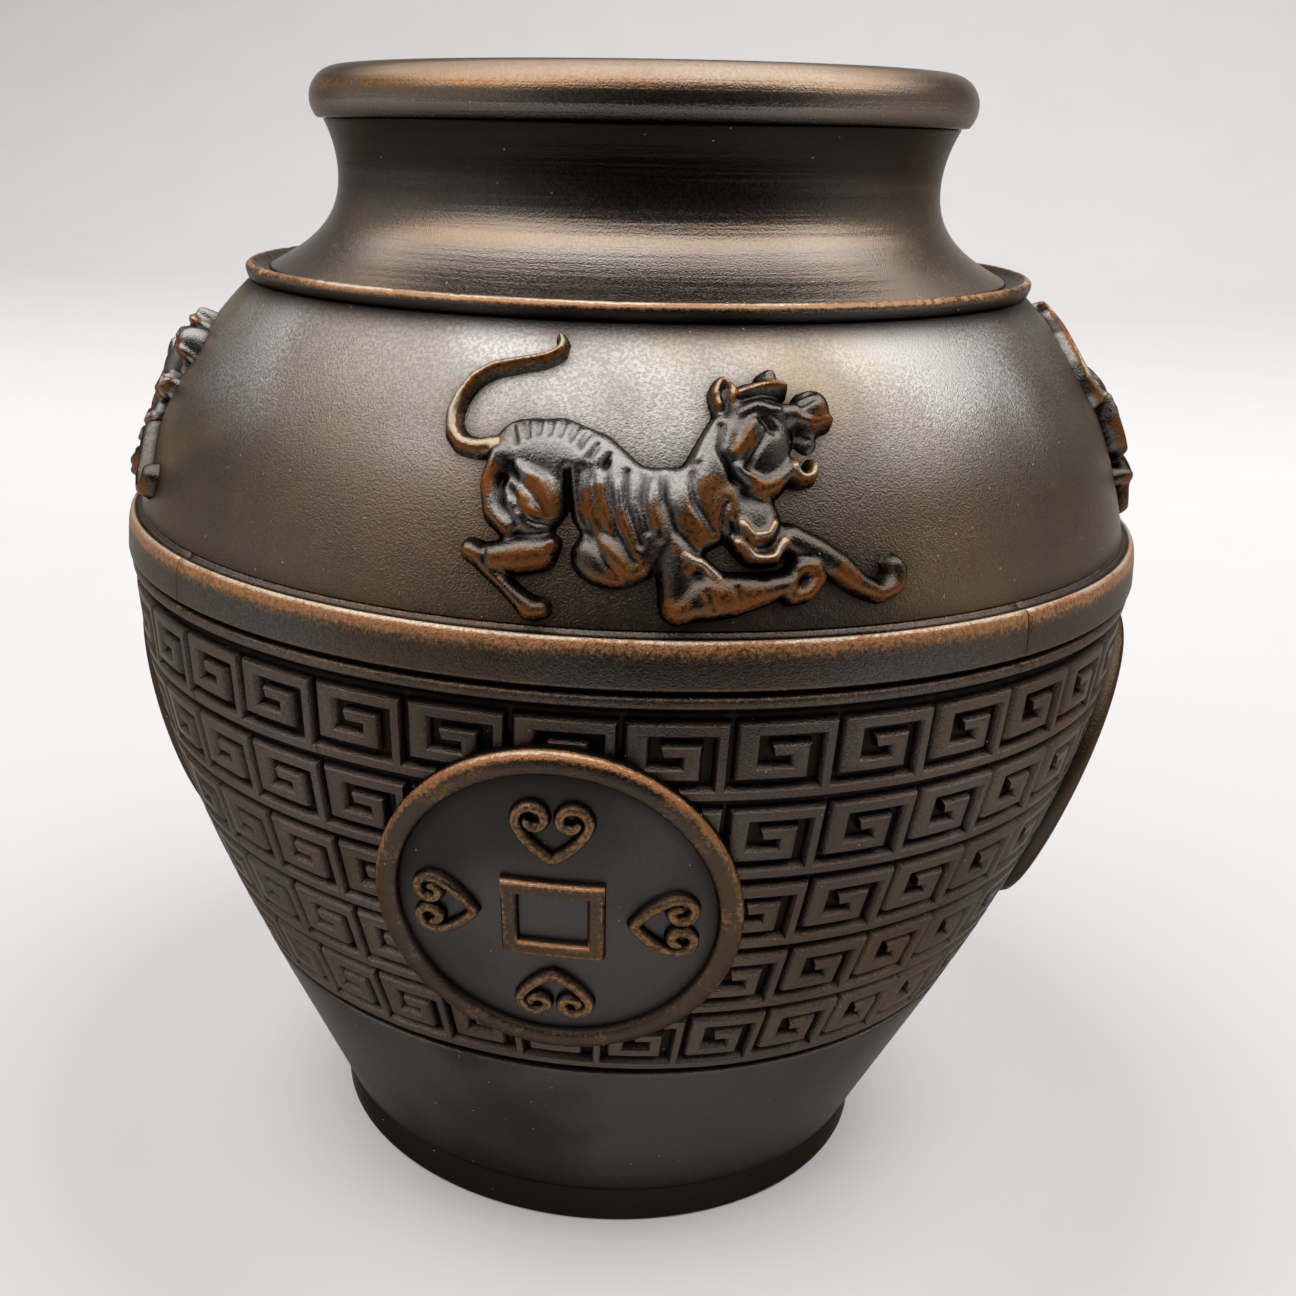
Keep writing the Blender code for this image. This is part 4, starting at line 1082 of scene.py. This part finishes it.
class JAR_OT_panels(bpy.types.Operator):
    """Builds the four panels with belt, moulding and key fret"""

    bl_idname = "copper_jar.panels"
    bl_label = "Fret panels"

    def execute(self, context):
        fret, coin = settings().fret, settings().coin
        key = key_object()
        outline = softened(panel_outline())
        column_angle = QUARTER_TURN / fret.columns
        radius = WALL.at(coin.place)[0]
        middle_row = 2.4
        coin_row = (coin.place - fret.start) / (fret.pitch + middle_row * fret.growth)
        values = {
            "Key": key, "Material": copper("fret_brown"), "Columns": fret.columns, "Rows": fret.rows,
            "Column Angle": column_angle, "Row Start": fret.start, "Row Pitch": fret.pitch,
            "Row Growth": fret.growth, "Coin Column": fret.columns / 2 + coin.angle / column_angle,
            "Coin Row": coin_row, "Coin Columns": (coin.half_width - MM) / radius / column_angle,
            "Coin Rows": (coin.half_height - MM) / (fret.pitch + 2 * middle_row * fret.growth),
            "Unevenness": fret.unevenness,
        }

        def seam(angles, radius, level, wear_and_shade):
            # Painted shade in the groove at each seam.
            radius[[0, -1]] -= 0.08 * MM
            wear_and_shade[[0, -1]] = -0.9
            return radius, level, wear_and_shade

        tree = fret_tree()
        inputs = [item for item in tree.interface.items_tree if item.in_out == "INPUT"]
        sockets = {item.name: item.identifier for item in inputs}
        for quarter in range(QUARTERS):
            first = (quarter - 0.5) * QUARTER_TURN
            panel = turned(
                f"wall_panel_{quarter + 1}_look", outline, copper("fret_brown"), first, QUARTER_TURN, seam
            )
            nodes = panel.modifiers.new("Key fret", "NODES")
            nodes.node_group = tree
            for label, value in {**values, "Start Angle": first, "Seed": fret.seed + quarter}.items():
                nodes[sockets[label]] = value
            settle(panel)
            place_piece(panel, "fret_copper", f"wall_panel_{quarter + 1}")
        bpy.data.objects.remove(key)
        return {"FINISHED"}


class JAR_OT_lower_wall(bpy.types.Operator):
    """Turns the plain bowl under the fret"""

    bl_idname = "copper_jar.lower_wall"
    bl_label = "Lower wall"

    def execute(self, context):
        foot_level, top, thickness = 0.00395, 0.0422, 0.0026
        end = np.interp(-foot_level, -WALL.points[:, 1], WALL.along)
        outside = WALL.stretch(top, end, 40)
        shares = np.linspace(0, 1, len(outside))
        # Rubbed just under the belt and darker towards the foot.
        outside[:, 2] = 0.25 * np.exp(-(shares * 30)) - 0.5 * np.exp(-shares[::-1] * 25)
        foot = np.array([(outside[-1][0] - thickness, foot_level, 0.0)])
        inside = WALL.stretch(end - thickness, 0.0462, 16, -thickness)
        lip_corners = ((0.0442, -0.0043), (0.0395, -0.0043), (0.0395, -0.0029), (top, -0.0029))
        lip = np.array([(*WALL.at(place, height), 0.0) for place, height in lip_corners])
        outline = softened(np.vstack([outside, foot, inside, lip]))
        place_piece(turned("lower_wall_look", outline, copper("patina_bowl")), "patina_copper", "lower_wall")
        return {"FINISHED"}


class JAR_OT_foot(bpy.types.Operator):
    """Turns the foot ring and the plate that closes the bottom"""

    bl_idname = "copper_jar.foot"
    bl_label = "Foot and base"

    def execute(self, context):
        outer = settings().body.foot_radius / MM
        plate_radius, plate_levels = 0.0252, (0.00195, 0.0039)
        # The outer face is darker, most at its top.
        ring = softened(corner_rows(
            (outer, 3.9, -0.6), (outer, 0.3, -0.25), (outer - 0.3, 0.0, 0.0), (25.7, 0.0, 0.0),
            (25.4, 0.9, 0.0), (23.4, 0.9, 0.0), (23.4, 1.9, 0.0), (25.4, 1.9, 0.0), (25.4, 3.9, 0.0),
        ))
        foot = turned("foot_ring_look", ring, copper("patina_bowl"))
        place_piece(foot, "patina_copper", "foot_ring")
        steps = settings().body.ring_steps
        angles = np.arange(steps) * math.tau / steps
        points = np.vstack([around(plate_radius, angles, level) for level in plate_levels])
        faces = grid_faces(2, steps, False, True) + end_caps(2, steps)
        plate = new_object("base_plate_look", points, faces, np.zeros(2 * steps), copper("patina_bowl"))
        place_piece(plate, "patina_copper", "base_plate")
        return {"FINISHED"}


def on_coin(points, quarter):
    """Moves points drawn on a medallion as (across, up, height) onto that quarter's wall."""
    coin = settings().coin
    across, up, height = np.reshape(points, (-1, 3)).T
    radius, level = WALL.at(coin.place - up, height)
    angle = coin.angle + quarter * QUARTER_TURN + across / WALL.at(coin.place - up)[0]
    return around(radius, angle, level)


def add_to_coin(part, quarter, points, faces, wear_and_shade_values, finish, slot):
    """Lays a part of a medallion on its wall and ties it to its node."""
    name = f"{part}_{quarter + 1}"
    piece = new_object(f"{name}_look", on_coin(points, quarter), faces, wear_and_shade_values, copper(finish))
    place_piece(piece, slot, name)


def oval_rings(section, steps):
    """Rings of (across, up, height) round a coin, one for each (inset, height) of a millimetre section."""
    coin = settings().coin
    turns = np.arange(steps) * math.tau / steps
    rings = []
    for inset, height in section:
        across = (coin.half_width - inset * MM) * np.cos(turns)
        up = (coin.half_height - inset * MM) * np.sin(turns)
        rings.append(np.column_stack([across, up, np.full(steps, height * MM)]))
    return np.array(rings)


# How far the coins of the four quarters are worn on their edges, which also sets how bright their painted
# highlight is
COIN_WEAR = (1.0, 0.15, 0.9, 0.15)

# Across the rim in millimetres: (inset from the edge, height, wear and painted shade)
COIN_RIM_SECTION = (
    (0.0, -0.85, -0.9), (0.0, -0.1, -0.7), (0.03, 0.4, -0.2), (0.14, 0.85, 0.3), (0.4, 1.18, 0.5),
    (0.78, 1.34, 0.2), (1.2, 1.38, 0.12), (1.65, 1.3, 0.15), (1.98, 1.08, 0.35), (2.14, 0.8, -0.4),
    (2.2, 0.2, -0.9), (2.2, -0.85, -0.9),
)

# Across the square frame in millimetres: (half width, half height, height, wear and painted shade)
FRAME_SECTION = (
    (4.25, 4.05, 0.4, -0.9), (4.2, 4.0, 0.8, -0.5), (4.1, 3.9, 1.1, 0.5), (3.95, 3.75, 1.26, 0.55),
    (3.5, 3.3, 1.3, 0.2), (3.05, 2.85, 1.26, 0.3), (2.9, 2.7, 1.1, 0.3), (2.8, 2.6, 0.8, -0.5),
    (2.75, 2.55, 0.4, -0.9),
)

# Across a cloud's stroke: (reach in half strokes, height in millimetres, wear and painted shade)
CLOUD_SECTION = (
    (1.25, 0.4, -0.9), (1.05, 0.8, -0.5), (0.85, 1.1, 0.3), (0.45, 1.26, 0.75), (0.0, 1.3, 0.45),
    (-0.45, 1.26, 0.75), (-0.85, 1.1, 0.3), (-1.05, 0.8, -0.5), (-1.25, 0.4, -0.9),
)


def cloud_line(steps):
    """A cloud scroll's middle line: from one eye out over its lobe, down to the tip and round the other."""
    turns = math.radians(-25) + math.radians(400) * np.linspace(0.0, 1.0, steps)
    radius = np.linspace(1.45, 0.4, steps)
    winding = np.column_stack([1.5 + radius * np.cos(turns), 0.9 + radius * np.sin(turns)])
    start = turns[0]
    handle = winding[0] + 2.2 * np.array([math.sin(start), -math.cos(start)])
    right = np.vstack([bezier(((0.0, -2.8), handle, winding[0]), 10), winding[1:]])
    left = right[::-1] * (-1, 1)
    return np.vstack([left, right[1:]]) * MM


def coin_rim(quarter):
    """The coin's rounded rim, rubbed most along its upper outer edge, polished with a painted highlight on
    that edge itself, with painted shade at its foot.
    """
    steps = 112
    section = np.array(COIN_RIM_SECTION)
    rings = oval_rings(section[:, :2], steps)
    turns = np.arange(steps) * math.tau / steps
    upper = np.clip(np.sin(turns), 0.0, 1.0)
    inset, _, wear_and_shade = (column[:, None] for column in section.T)
    outer_edge = hump(inset, 0.3, 0.35) * (wear_and_shade > 0)
    highlight_edge = hump(inset, 0.14, 0.1) * (wear_and_shade > 0)
    handled = (wear_and_shade > 0) * 0.3 * uneven(turns, 11 + quarter, (3, 5, 9, 14, 23))
    # Painted highlight: the bright edge lies mostly on the coin's upper side.
    raised = np.maximum(wear_and_shade, 0.0) + 0.8 * outer_edge * upper + 2.0 * highlight_edge * upper**2 + handled
    wear_and_shade_values = np.minimum(wear_and_shade, 0.0) + COIN_WEAR[quarter] * raised
    faces = grid_faces(len(section), steps, True, True)
    add_to_coin("coin_rim", quarter, rings, faces, wear_and_shade_values, "coin_relief", "worn_copper")


def coin_plate(quarter):
    """The coin's field, with painted shade where it meets the rim."""
    steps, inset, painted_shade = 96, 2.1 * MM, 0.8 * MM
    coin = settings().coin
    turns = np.arange(steps) * math.tau / steps
    shares = np.linspace(0.06, 1.0, 14)
    reach = np.array((coin.half_width - inset, coin.half_height - inset))
    rings, wear_and_shade_values = [], []
    for height, order in ((-0.1, shares), (0.5, shares[::-1])):
        for share in order:
            across, up = reach[0] * share * np.cos(turns), reach[1] * share * np.sin(turns)
            rings.append(np.column_stack([across, up, np.full(steps, height * MM)]))
            wear_and_shade_values.append(np.full(steps, -0.75 * math.exp(-(1 - share) * reach[0] / painted_shade)))
    faces = grid_faces(len(rings), steps, False, True) + end_caps(len(rings), steps)
    add_to_coin("coin_plate", quarter, rings, faces, wear_and_shade_values, "coin_field", "patina_copper")


def coin_frame(quarter):
    """The square frame in the middle of the field, polished with a painted highlight on the edges that face
    up.
    """
    corners = np.array([(1, 1), (-1, 1), (-1, -1), (1, -1)], float)
    shares = np.linspace(0, 1, 5)[:-1, None]
    path = np.vstack([a + (b - a) * shares for a, b in zip(corners, np.roll(corners, -1, axis=0))])
    rings, wear_and_shade_values = [], []
    for half_width, half_height, height, wear_and_shade in FRAME_SECTION:
        across = path[:, 0] * half_width * MM
        up = path[:, 1] * half_height * MM
        rings.append(np.column_stack([across, up, np.full(len(path), height * MM)]))
        upward = path[:, 1] if half_width > 3.5 else -path[:, 1]
        # Painted highlight on the edges that face up; painted shade at the frame's foot.
        wear_and_shade_values.append(wear_and_shade + 2.2 * (height == 1.1) * (upward > 0.99))
    faces = grid_faces(len(rings), len(path), True, True)
    add_to_coin("coin_frame", quarter, rings, faces, wear_and_shade_values, "coin_relief", "worn_copper")


def cloud(quarter, side, toward):
    """A cloud scroll on the coin's field, its lobes pointing along toward."""
    distance = 0.0092
    line = cloud_line(26)
    ahead = np.gradient(line, axis=0)
    ahead /= np.hypot(*ahead.T)[:, None]
    sideways = np.column_stack([-ahead[:, 1], ahead[:, 0]]) * settings().coin.stroke / 2
    ends = np.minimum(np.arange(len(line)), np.arange(len(line))[::-1])
    taper = np.minimum(1.0, 0.55 + 0.2 * ends)
    right_hand = np.array((toward[1], -toward[0]))
    points, wear_and_shade_values = [], []
    for centre, side_step, narrow in zip(line, sideways, taper):
        for reach, height, wear_and_shade in CLOUD_SECTION:
            across, up = centre + side_step * reach * narrow
            flat = across * right_hand + (distance + up) * np.array(toward)
            points.append((*flat, height * MM))
            wear_and_shade_values.append(wear_and_shade)
    width = len(CLOUD_SECTION)
    faces = grid_faces(len(line), width, False, True) + end_caps(len(line), width)
    add_to_coin(f"cloud_{side}", quarter, points, faces, wear_and_shade_values, "coin_relief", "worn_copper")


class JAR_OT_coins(bpy.types.Operator):
    """Builds the four medallions with rim, field, square frame and cloud scrolls"""

    bl_idname = "copper_jar.coins"
    bl_label = "Coins"

    def execute(self, context):
        directions = {"top": (0, 1), "right": (1, 0), "bottom": (0, -1), "left": (-1, 0)}
        for quarter in range(QUARTERS):
            coin_rim(quarter)
            coin_plate(quarter)
            coin_frame(quarter)
            for side, toward in directions.items():
                cloud(quarter, side, toward)
        return {"FINISHED"}


def blurred(field, passes):
    """A field smoothed by repeated averaging of neighbours."""
    for _ in range(passes):
        for axis in (0, 1):
            lines = np.moveaxis(field, axis, 0)
            padded = np.concatenate([lines[:1], lines, lines[-1:]])
            field = np.moveaxis(0.25 * padded[:-2] + 0.5 * lines + 0.25 * padded[2:], 0, axis)
    return field


class TigerDrawing:
    """The tiger's heights on a grid over the unrolled shoulder, in millimetres from the tiger's middle."""

    LEFT, RIGHT, FOOT, TOP = -18.4, 19.9, -13.0, 11.9
    GROUND = -0.5
    HALO = 1.1

    def __init__(self):
        self.tiger = settings().tiger
        self.step = self.tiger.grid / MM
        self.across = np.arange(self.LEFT, self.RIGHT, self.step)
        self.up = np.arange(self.FOOT, self.TOP, self.step)
        self.x, self.y = np.meshgrid(self.across, self.up, indexing="ij")
        self.height = self.heights()
        # Painted shadow: a soft mask round the tiger, laid on the shoulder as shade.
        self.shade = blurred((self.height > 0.0).astype(float), int((self.HALO / self.step) ** 2 / 2))

    def drawn(self, point):
        """A point of the drawing in millimetres across and up."""
        scale = DRAWING_UNIT / MM
        return (point[0] - DRAWING_MIDDLE[0]) * scale, (DRAWING_MIDDLE[1] - point[1]) * scale

    def stroke(self, line, half_widths):
        """How far inside a stroke each grid point lies: 1 on its middle line, 0 at its edge."""
        inside = np.full(self.x.shape, -9.0)
        for start, end, first, second in zip(line, line[1:], half_widths, half_widths[1:]):
            (x0, y0), (x1, y1) = self.drawn(start), self.drawn(end)
            run, rise = x1 - x0, y1 - y0
            share = np.clip(((self.x - x0) * run + (self.y - y0) * rise) / (run**2 + rise**2), 0.0, 1.0)
            squared = (self.x - x0 - share * run) ** 2 + (self.y - y0 - share * rise) ** 2
            inside = np.maximum(inside, 1 - squared / (first + (second - first) * share) ** 2)
        return inside

    def tapered(self, line, share=1.0):
        """A stroke along (x, y, half width) rows, at a share of its width."""
        return self.stroke([point[:2] for point in line], [share * point[2] for point in line])

    def heights(self):
        """Rounded strokes and domes, then ridges raised on them and grooves cut into them."""
        height = np.full(self.x.shape, self.GROUND)
        rounded = [(top, self.tapered(line)) for top, line in TIGER_STROKES.values()]
        for top, middle, (half_width, half_height) in TIGER_DOMES.values():
            x, y = self.drawn(middle)
            rounded.append((top, 1 - ((self.x - x) / half_width) ** 2 - ((self.y - y) / half_height) ** 2))
        for top, inside in rounded:
            raised = np.where(inside > 0, top * np.sqrt(np.maximum(inside, 0)), self.GROUND)
            height = np.maximum(height, raised)
        height = blurred(height, 3)
        for rise, half_width, line in TIGER_RIDGES:
            inside = self.stroke(line, [half_width] * len(line))
            height += np.where(height > 0, rise * np.maximum(inside, 0), 0.0)
        for depth, half_width, line in TIGER_GROOVES:
            inside = self.stroke(line, [half_width] * len(line))
            height -= np.where(height > 0.3, depth * np.exp(np.minimum(inside - 1, 0)), 0.0)
        return blurred(height, 1) * self.tiger.relief

    def halo(self, angles, places):
        """How close a place on the shoulder is to a tiger, from 0 to 1, which sets the painted shadow round
        it.
        """
        turn = (angles - self.tiger.angle + QUARTER_TURN / 2) % QUARTER_TURN - QUARTER_TURN / 2
        across = turn * self.tiger.map_radius / MM
        up = (self.tiger.place - places) / MM
        column = np.clip(np.rint((across - self.across[0]) / self.step), 0, len(self.across) - 1).astype(int)
        row = np.clip(np.rint((up - self.up[0]) / self.step), 0, len(self.up) - 1).astype(int)
        return self.shade[column, row]

    def wear_and_shade(self):
        """Painted shade in hollows, rubbed ridges, bare copper on the front and lower sides of the rubbed
        places, and polished crests with a painted highlight on thin strokes that face up.
        """
        head_middle, head_radius = (1240, 400), 3.0
        bulge = np.clip((self.height - blurred(self.height, 42)) / 0.46, -0.85, 1.0)
        bare = np.zeros(self.height.shape)
        for x, y, radius, weight in TIGER_BARE:
            across, up = self.drawn((x, y))
            near = 1 - ((self.x - across) ** 2 + (self.y - up) ** 2) / radius**2
            bare = np.maximum(bare, weight * np.clip(1.8 * near, 0.0, 1.0))
        # Faces turned down take more bare copper and faces turned up take the bright crests, so the tops
        # look lit: painted light over the wear.
        facing = np.clip(0.6 + 0.9 * np.gradient(blurred(self.height, 4), self.step, axis=1), 0.0, 1.0)
        raised = np.clip((self.height - 0.3) / 0.5, 0.0, 1.0) * np.clip(1 + 1.6 * bulge, 0.0, 1.0)
        across, up = self.drawn(head_middle)
        head = np.clip(1.6 - np.hypot(self.x - across, self.y - up) / head_radius, 0.0, 1.0)
        thin = [self.tapered(TIGER_STROKES[name][1], 0.75) for name in TIGER_CRESTS]
        # Painted highlight: polished crests only where the thin strokes face up.
        crest_highlight = np.clip(1.6 * np.maximum.reduce(thin), 0.0, 1.0) * np.clip(2.2 - 2.0 * facing, 0.0, 1.0)
        # Painted shade: the hollows go dark, less so on the head.
        hollows = np.where(bulge > 0, bulge * facing, np.maximum(2.3 * bulge, -1.0) * (1 - 0.5 * head))
        return np.minimum(hollows + 1.9 * bare * facing * raised, 1.5) + 2.3 * crest_highlight

    def sheet(self):
        """The relief's grid points as (across, up, height) rows, its closed faces and its wear and painted
        shade.
        """
        edge, lowest, back_level = -0.12, -0.15, -0.45
        columns, rows = self.height.shape
        corners = ((slice(-1), slice(-1)), (slice(1, None), slice(-1)),
                   (slice(1, None), slice(1, None)), (slice(-1), slice(1, None)))
        solid = np.maximum.reduce([self.height[corner] for corner in corners]) > edge
        number = np.arange(columns * rows).reshape(columns, rows)
        quads = np.stack([number[corner] for corner in corners], axis=-1)[solid]
        sides = np.concatenate([quads[:, [i, (i + 1) % 4]] for i in range(4)])
        keys = np.sort(sides, axis=1) @ np.array([columns * rows, 1])
        _, position, repeats = np.unique(keys, return_index=True, return_counts=True)
        border = sides[position[repeats == 1]]
        used, compact = np.unique(quads, return_inverse=True)
        front = compact.reshape(quads.shape)
        back = front[:, ::-1] + len(used)
        wall = np.searchsorted(used, border)
        wall = np.column_stack([wall[:, 1], wall[:, 0], wall[:, 0] + len(used), wall[:, 1] + len(used)])
        flat = np.column_stack([self.x.ravel()[used], self.y.ravel()[used]])
        heights = np.maximum(self.height.ravel()[used], lowest)
        points = np.vstack([
            np.column_stack([flat, heights]), np.column_stack([flat, np.full(len(used), back_level)]),
        ])
        wear_and_shade = np.concatenate([self.wear_and_shade().ravel()[used], np.zeros(len(used))])
        return points * MM, np.vstack([front, back, wall]).tolist(), wear_and_shade


class JAR_OT_tigers(bpy.types.Operator):
    """Models the four tigers in relief on the shoulder"""

    bl_idname = "copper_jar.tigers"
    bl_label = "Tigers"

    def execute(self, context):
        tiger = settings().tiger
        points, faces, wear_and_shade = TigerDrawing().sheet()
        across, up, height = points.T
        radius, level = SHOULDER.at(tiger.place - up, height)
        for quarter in range(QUARTERS):
            angle = tiger.angle + quarter * QUARTER_TURN + across / tiger.map_radius
            name = f"tiger_{quarter + 1}"
            points = around(radius, angle, level)
            relief = new_object(f"{name}_look", points, faces, wear_and_shade, copper("tiger_relief"), sharp_angle=80)
            place_piece(relief, "worn_copper", name)
        return {"FINISHED"}


def floor_material():
    """Pale matt paper, painted lighter where the jar stands, which thins the jar's shadow, and painted
    lighter towards the backdrop.
    """
    material = bpy.data.materials.new("pale_floor")
    material.use_nodes = True
    graph = Graph(material.node_tree)
    principled = material.node_tree.nodes["Principled BSDF"]
    place = graph.add("ShaderNodeTexCoord").outputs["Object"]
    shade = graph.remap(graph.noise(place, 22.0, 4.0), 0.3, 0.7, 0.0, 0.05)
    depth = graph.add("ShaderNodeSeparateXYZ", {0: place}).outputs["Y"]
    colour = Vector(settings().stage.floor)
    away = graph.add("ShaderNodeVectorMath", {0: place}, operation="LENGTH").outputs["Value"]
    # Painted light: the floor is lighter close to the jar and lighter again towards the backdrop.
    pale = graph.blend(graph.remap(away, 0.03, 0.062), opaque(colour, 1.7), opaque(colour, 1.13))
    pale = graph.blend(graph.remap(depth, 0.1, 0.4), pale, opaque(colour, 1.28))
    pale = graph.blend(graph.remap(depth, 0.6, 1.3), pale, opaque(colour, 1.5))
    graph.feed(principled.inputs["Base Color"], graph.blend(shade, pale, (0.5, 0.49, 0.48, 1.0)))
    principled.inputs["Roughness"].default_value = 0.9
    principled.inputs["Specular IOR Level"].default_value = 0.2
    return material


def lamp(name, depth, level, size, watts):
    """A soft lamp that shines straight down, set behind the jar's axis by depth as the room lies."""
    light = bpy.data.lights.new(name, "AREA")
    light.shape = "RECTANGLE"
    light.size, light.size_y = size
    light.energy = watts
    holder = bpy.data.objects.new(name, light)
    turn = settings().stage.lens_side
    holder.location = (-depth * math.sin(turn), depth * math.cos(turn), level)
    holder.rotation_euler = (0.0, 0.0, turn)
    bpy.context.scene.collection.objects.link(holder)


def room_light():
    """A room that is dim behind the lens and brighter beside and behind the jar."""
    stage = settings().stage
    world = bpy.data.worlds.new("room")
    world.use_nodes = True
    graph = Graph(world.node_tree)
    toward = graph.add("ShaderNodeTexCoord").outputs["Generated"]
    away = (-math.sin(stage.lens_side), math.cos(stage.lens_side), 0.0)
    depth = graph.add("ShaderNodeVectorMath", {0: toward, 1: away}, operation="DOT_PRODUCT").outputs["Value"]
    background = world.node_tree.nodes["Background"]
    background.inputs["Color"].default_value = (1.0, 0.99, 0.98, 1.0)
    graph.feed(background.inputs["Strength"], graph.remap(depth, -0.95, -0.15, stage.front, stage.room))
    return world


class JAR_OT_stage(bpy.types.Operator):
    """Sets the camera, the lamps, the pale floor and the light from all round"""

    bl_idname = "copper_jar.stage"
    bl_label = "Stage"

    def execute(self, context):
        stage = settings().stage
        front, level_end, bend, top, half_width = -0.16, 0.9, 0.5, 1.6, 2.0
        turns = np.linspace(0.0, math.pi / 2, 17)
        curve = [(level_end + bend * math.sin(turn), bend - bend * math.cos(turn)) for turn in turns]
        profile = [(front, 0.0), *curve, (level_end + bend, top)]
        points = [(x, y, z) for y, z in profile for x in (-half_width, half_width)]
        faces = [[2 * i, 2 * i + 1, 2 * i + 3, 2 * i + 2] for i in range(len(profile) - 1)]
        mesh = bpy.data.meshes.new("floor")
        mesh.from_pydata(points, [], faces)
        mesh.polygons.foreach_set("use_smooth", [True] * len(mesh.polygons))
        mesh.materials.append(floor_material())
        floor = bpy.data.objects.new("floor", mesh)
        context.scene.collection.objects.link(floor)

        lamp("overhead", -0.21, 0.8, (2.6, 1.02), stage.overhead)
        lamp("behind", 0.66, 0.85, (1.8, 0.6), stage.behind)
        context.scene.world = room_light()
        context.scene.view_settings.view_transform = "Standard"

        camera = bpy.data.cameras.new("camera")
        camera.sensor_width = 36.0
        camera.lens = stage.lens
        camera.shift_x = stage.shift
        camera.clip_start = 0.005
        holder = bpy.data.objects.new("camera", camera)
        level = Matrix.Rotation(stage.heading, 3, "Z")
        forward = level @ Vector((0.0, math.cos(stage.pitch), -math.sin(stage.pitch)))
        sideways = level @ Vector((1.0, 0.0, 0.0))
        upward = sideways.cross(forward)
        right = sideways * math.cos(stage.roll) + upward * math.sin(stage.roll)
        up = upward * math.cos(stage.roll) - sideways * math.sin(stage.roll)
        turn = Matrix((right, up, -forward)).transposed()
        holder.matrix_world = Matrix.Translation(stage.camera_place) @ turn.to_4x4()
        context.scene.collection.objects.link(holder)
        context.scene.camera = holder
        return {"FINISHED"}


STEPS = (
    JAR_OT_rim, JAR_OT_neck, JAR_OT_collar, JAR_OT_shoulder, JAR_OT_panels, JAR_OT_lower_wall, JAR_OT_foot,
    JAR_OT_coins, JAR_OT_tigers, JAR_OT_stage,
)


class JAR_PT_sidebar(bpy.types.Panel):
    """Lists the jar's steps and settings"""

    bl_idname = "JAR_PT_sidebar"
    bl_label = "Copper jar"
    bl_space_type = "VIEW_3D"
    bl_region_type = "UI"
    bl_category = "Copper jar"

    def draw(self, context):
        for step in STEPS:
            self.layout.operator(step.bl_idname)
        for part in ("body", "fret", "coin", "tiger", "finish", "stage"):
            box = self.layout.box()
            box.label(text=part.capitalize())
            group = getattr(context.scene.copper_jar, part)
            for name in group.__annotations__:
                box.prop(group, name)


CLASSES = (
    JarBodySettings, JarFretSettings, JarCoinSettings, JarTigerSettings, JarFinishSettings, JarStageSettings,
    JarSettings, *STEPS, JAR_PT_sidebar,
)


def register():
    for item in CLASSES:
        bpy.utils.register_class(item)
    bpy.types.Scene.copper_jar = PointerProperty(type=JarSettings)


def unregister():
    del bpy.types.Scene.copper_jar
    for item in reversed(CLASSES):
        bpy.utils.unregister_class(item)


def main():
    register()
    bpy.ops.copper_jar.rim()
    bpy.ops.copper_jar.neck()
    bpy.ops.copper_jar.collar()
    bpy.ops.copper_jar.shoulder()
    bpy.ops.copper_jar.panels()
    bpy.ops.copper_jar.lower_wall()
    bpy.ops.copper_jar.foot()
    bpy.ops.copper_jar.coins()
    bpy.ops.copper_jar.tigers()
    bpy.ops.copper_jar.stage()


if __name__ == "__main__":
    main()
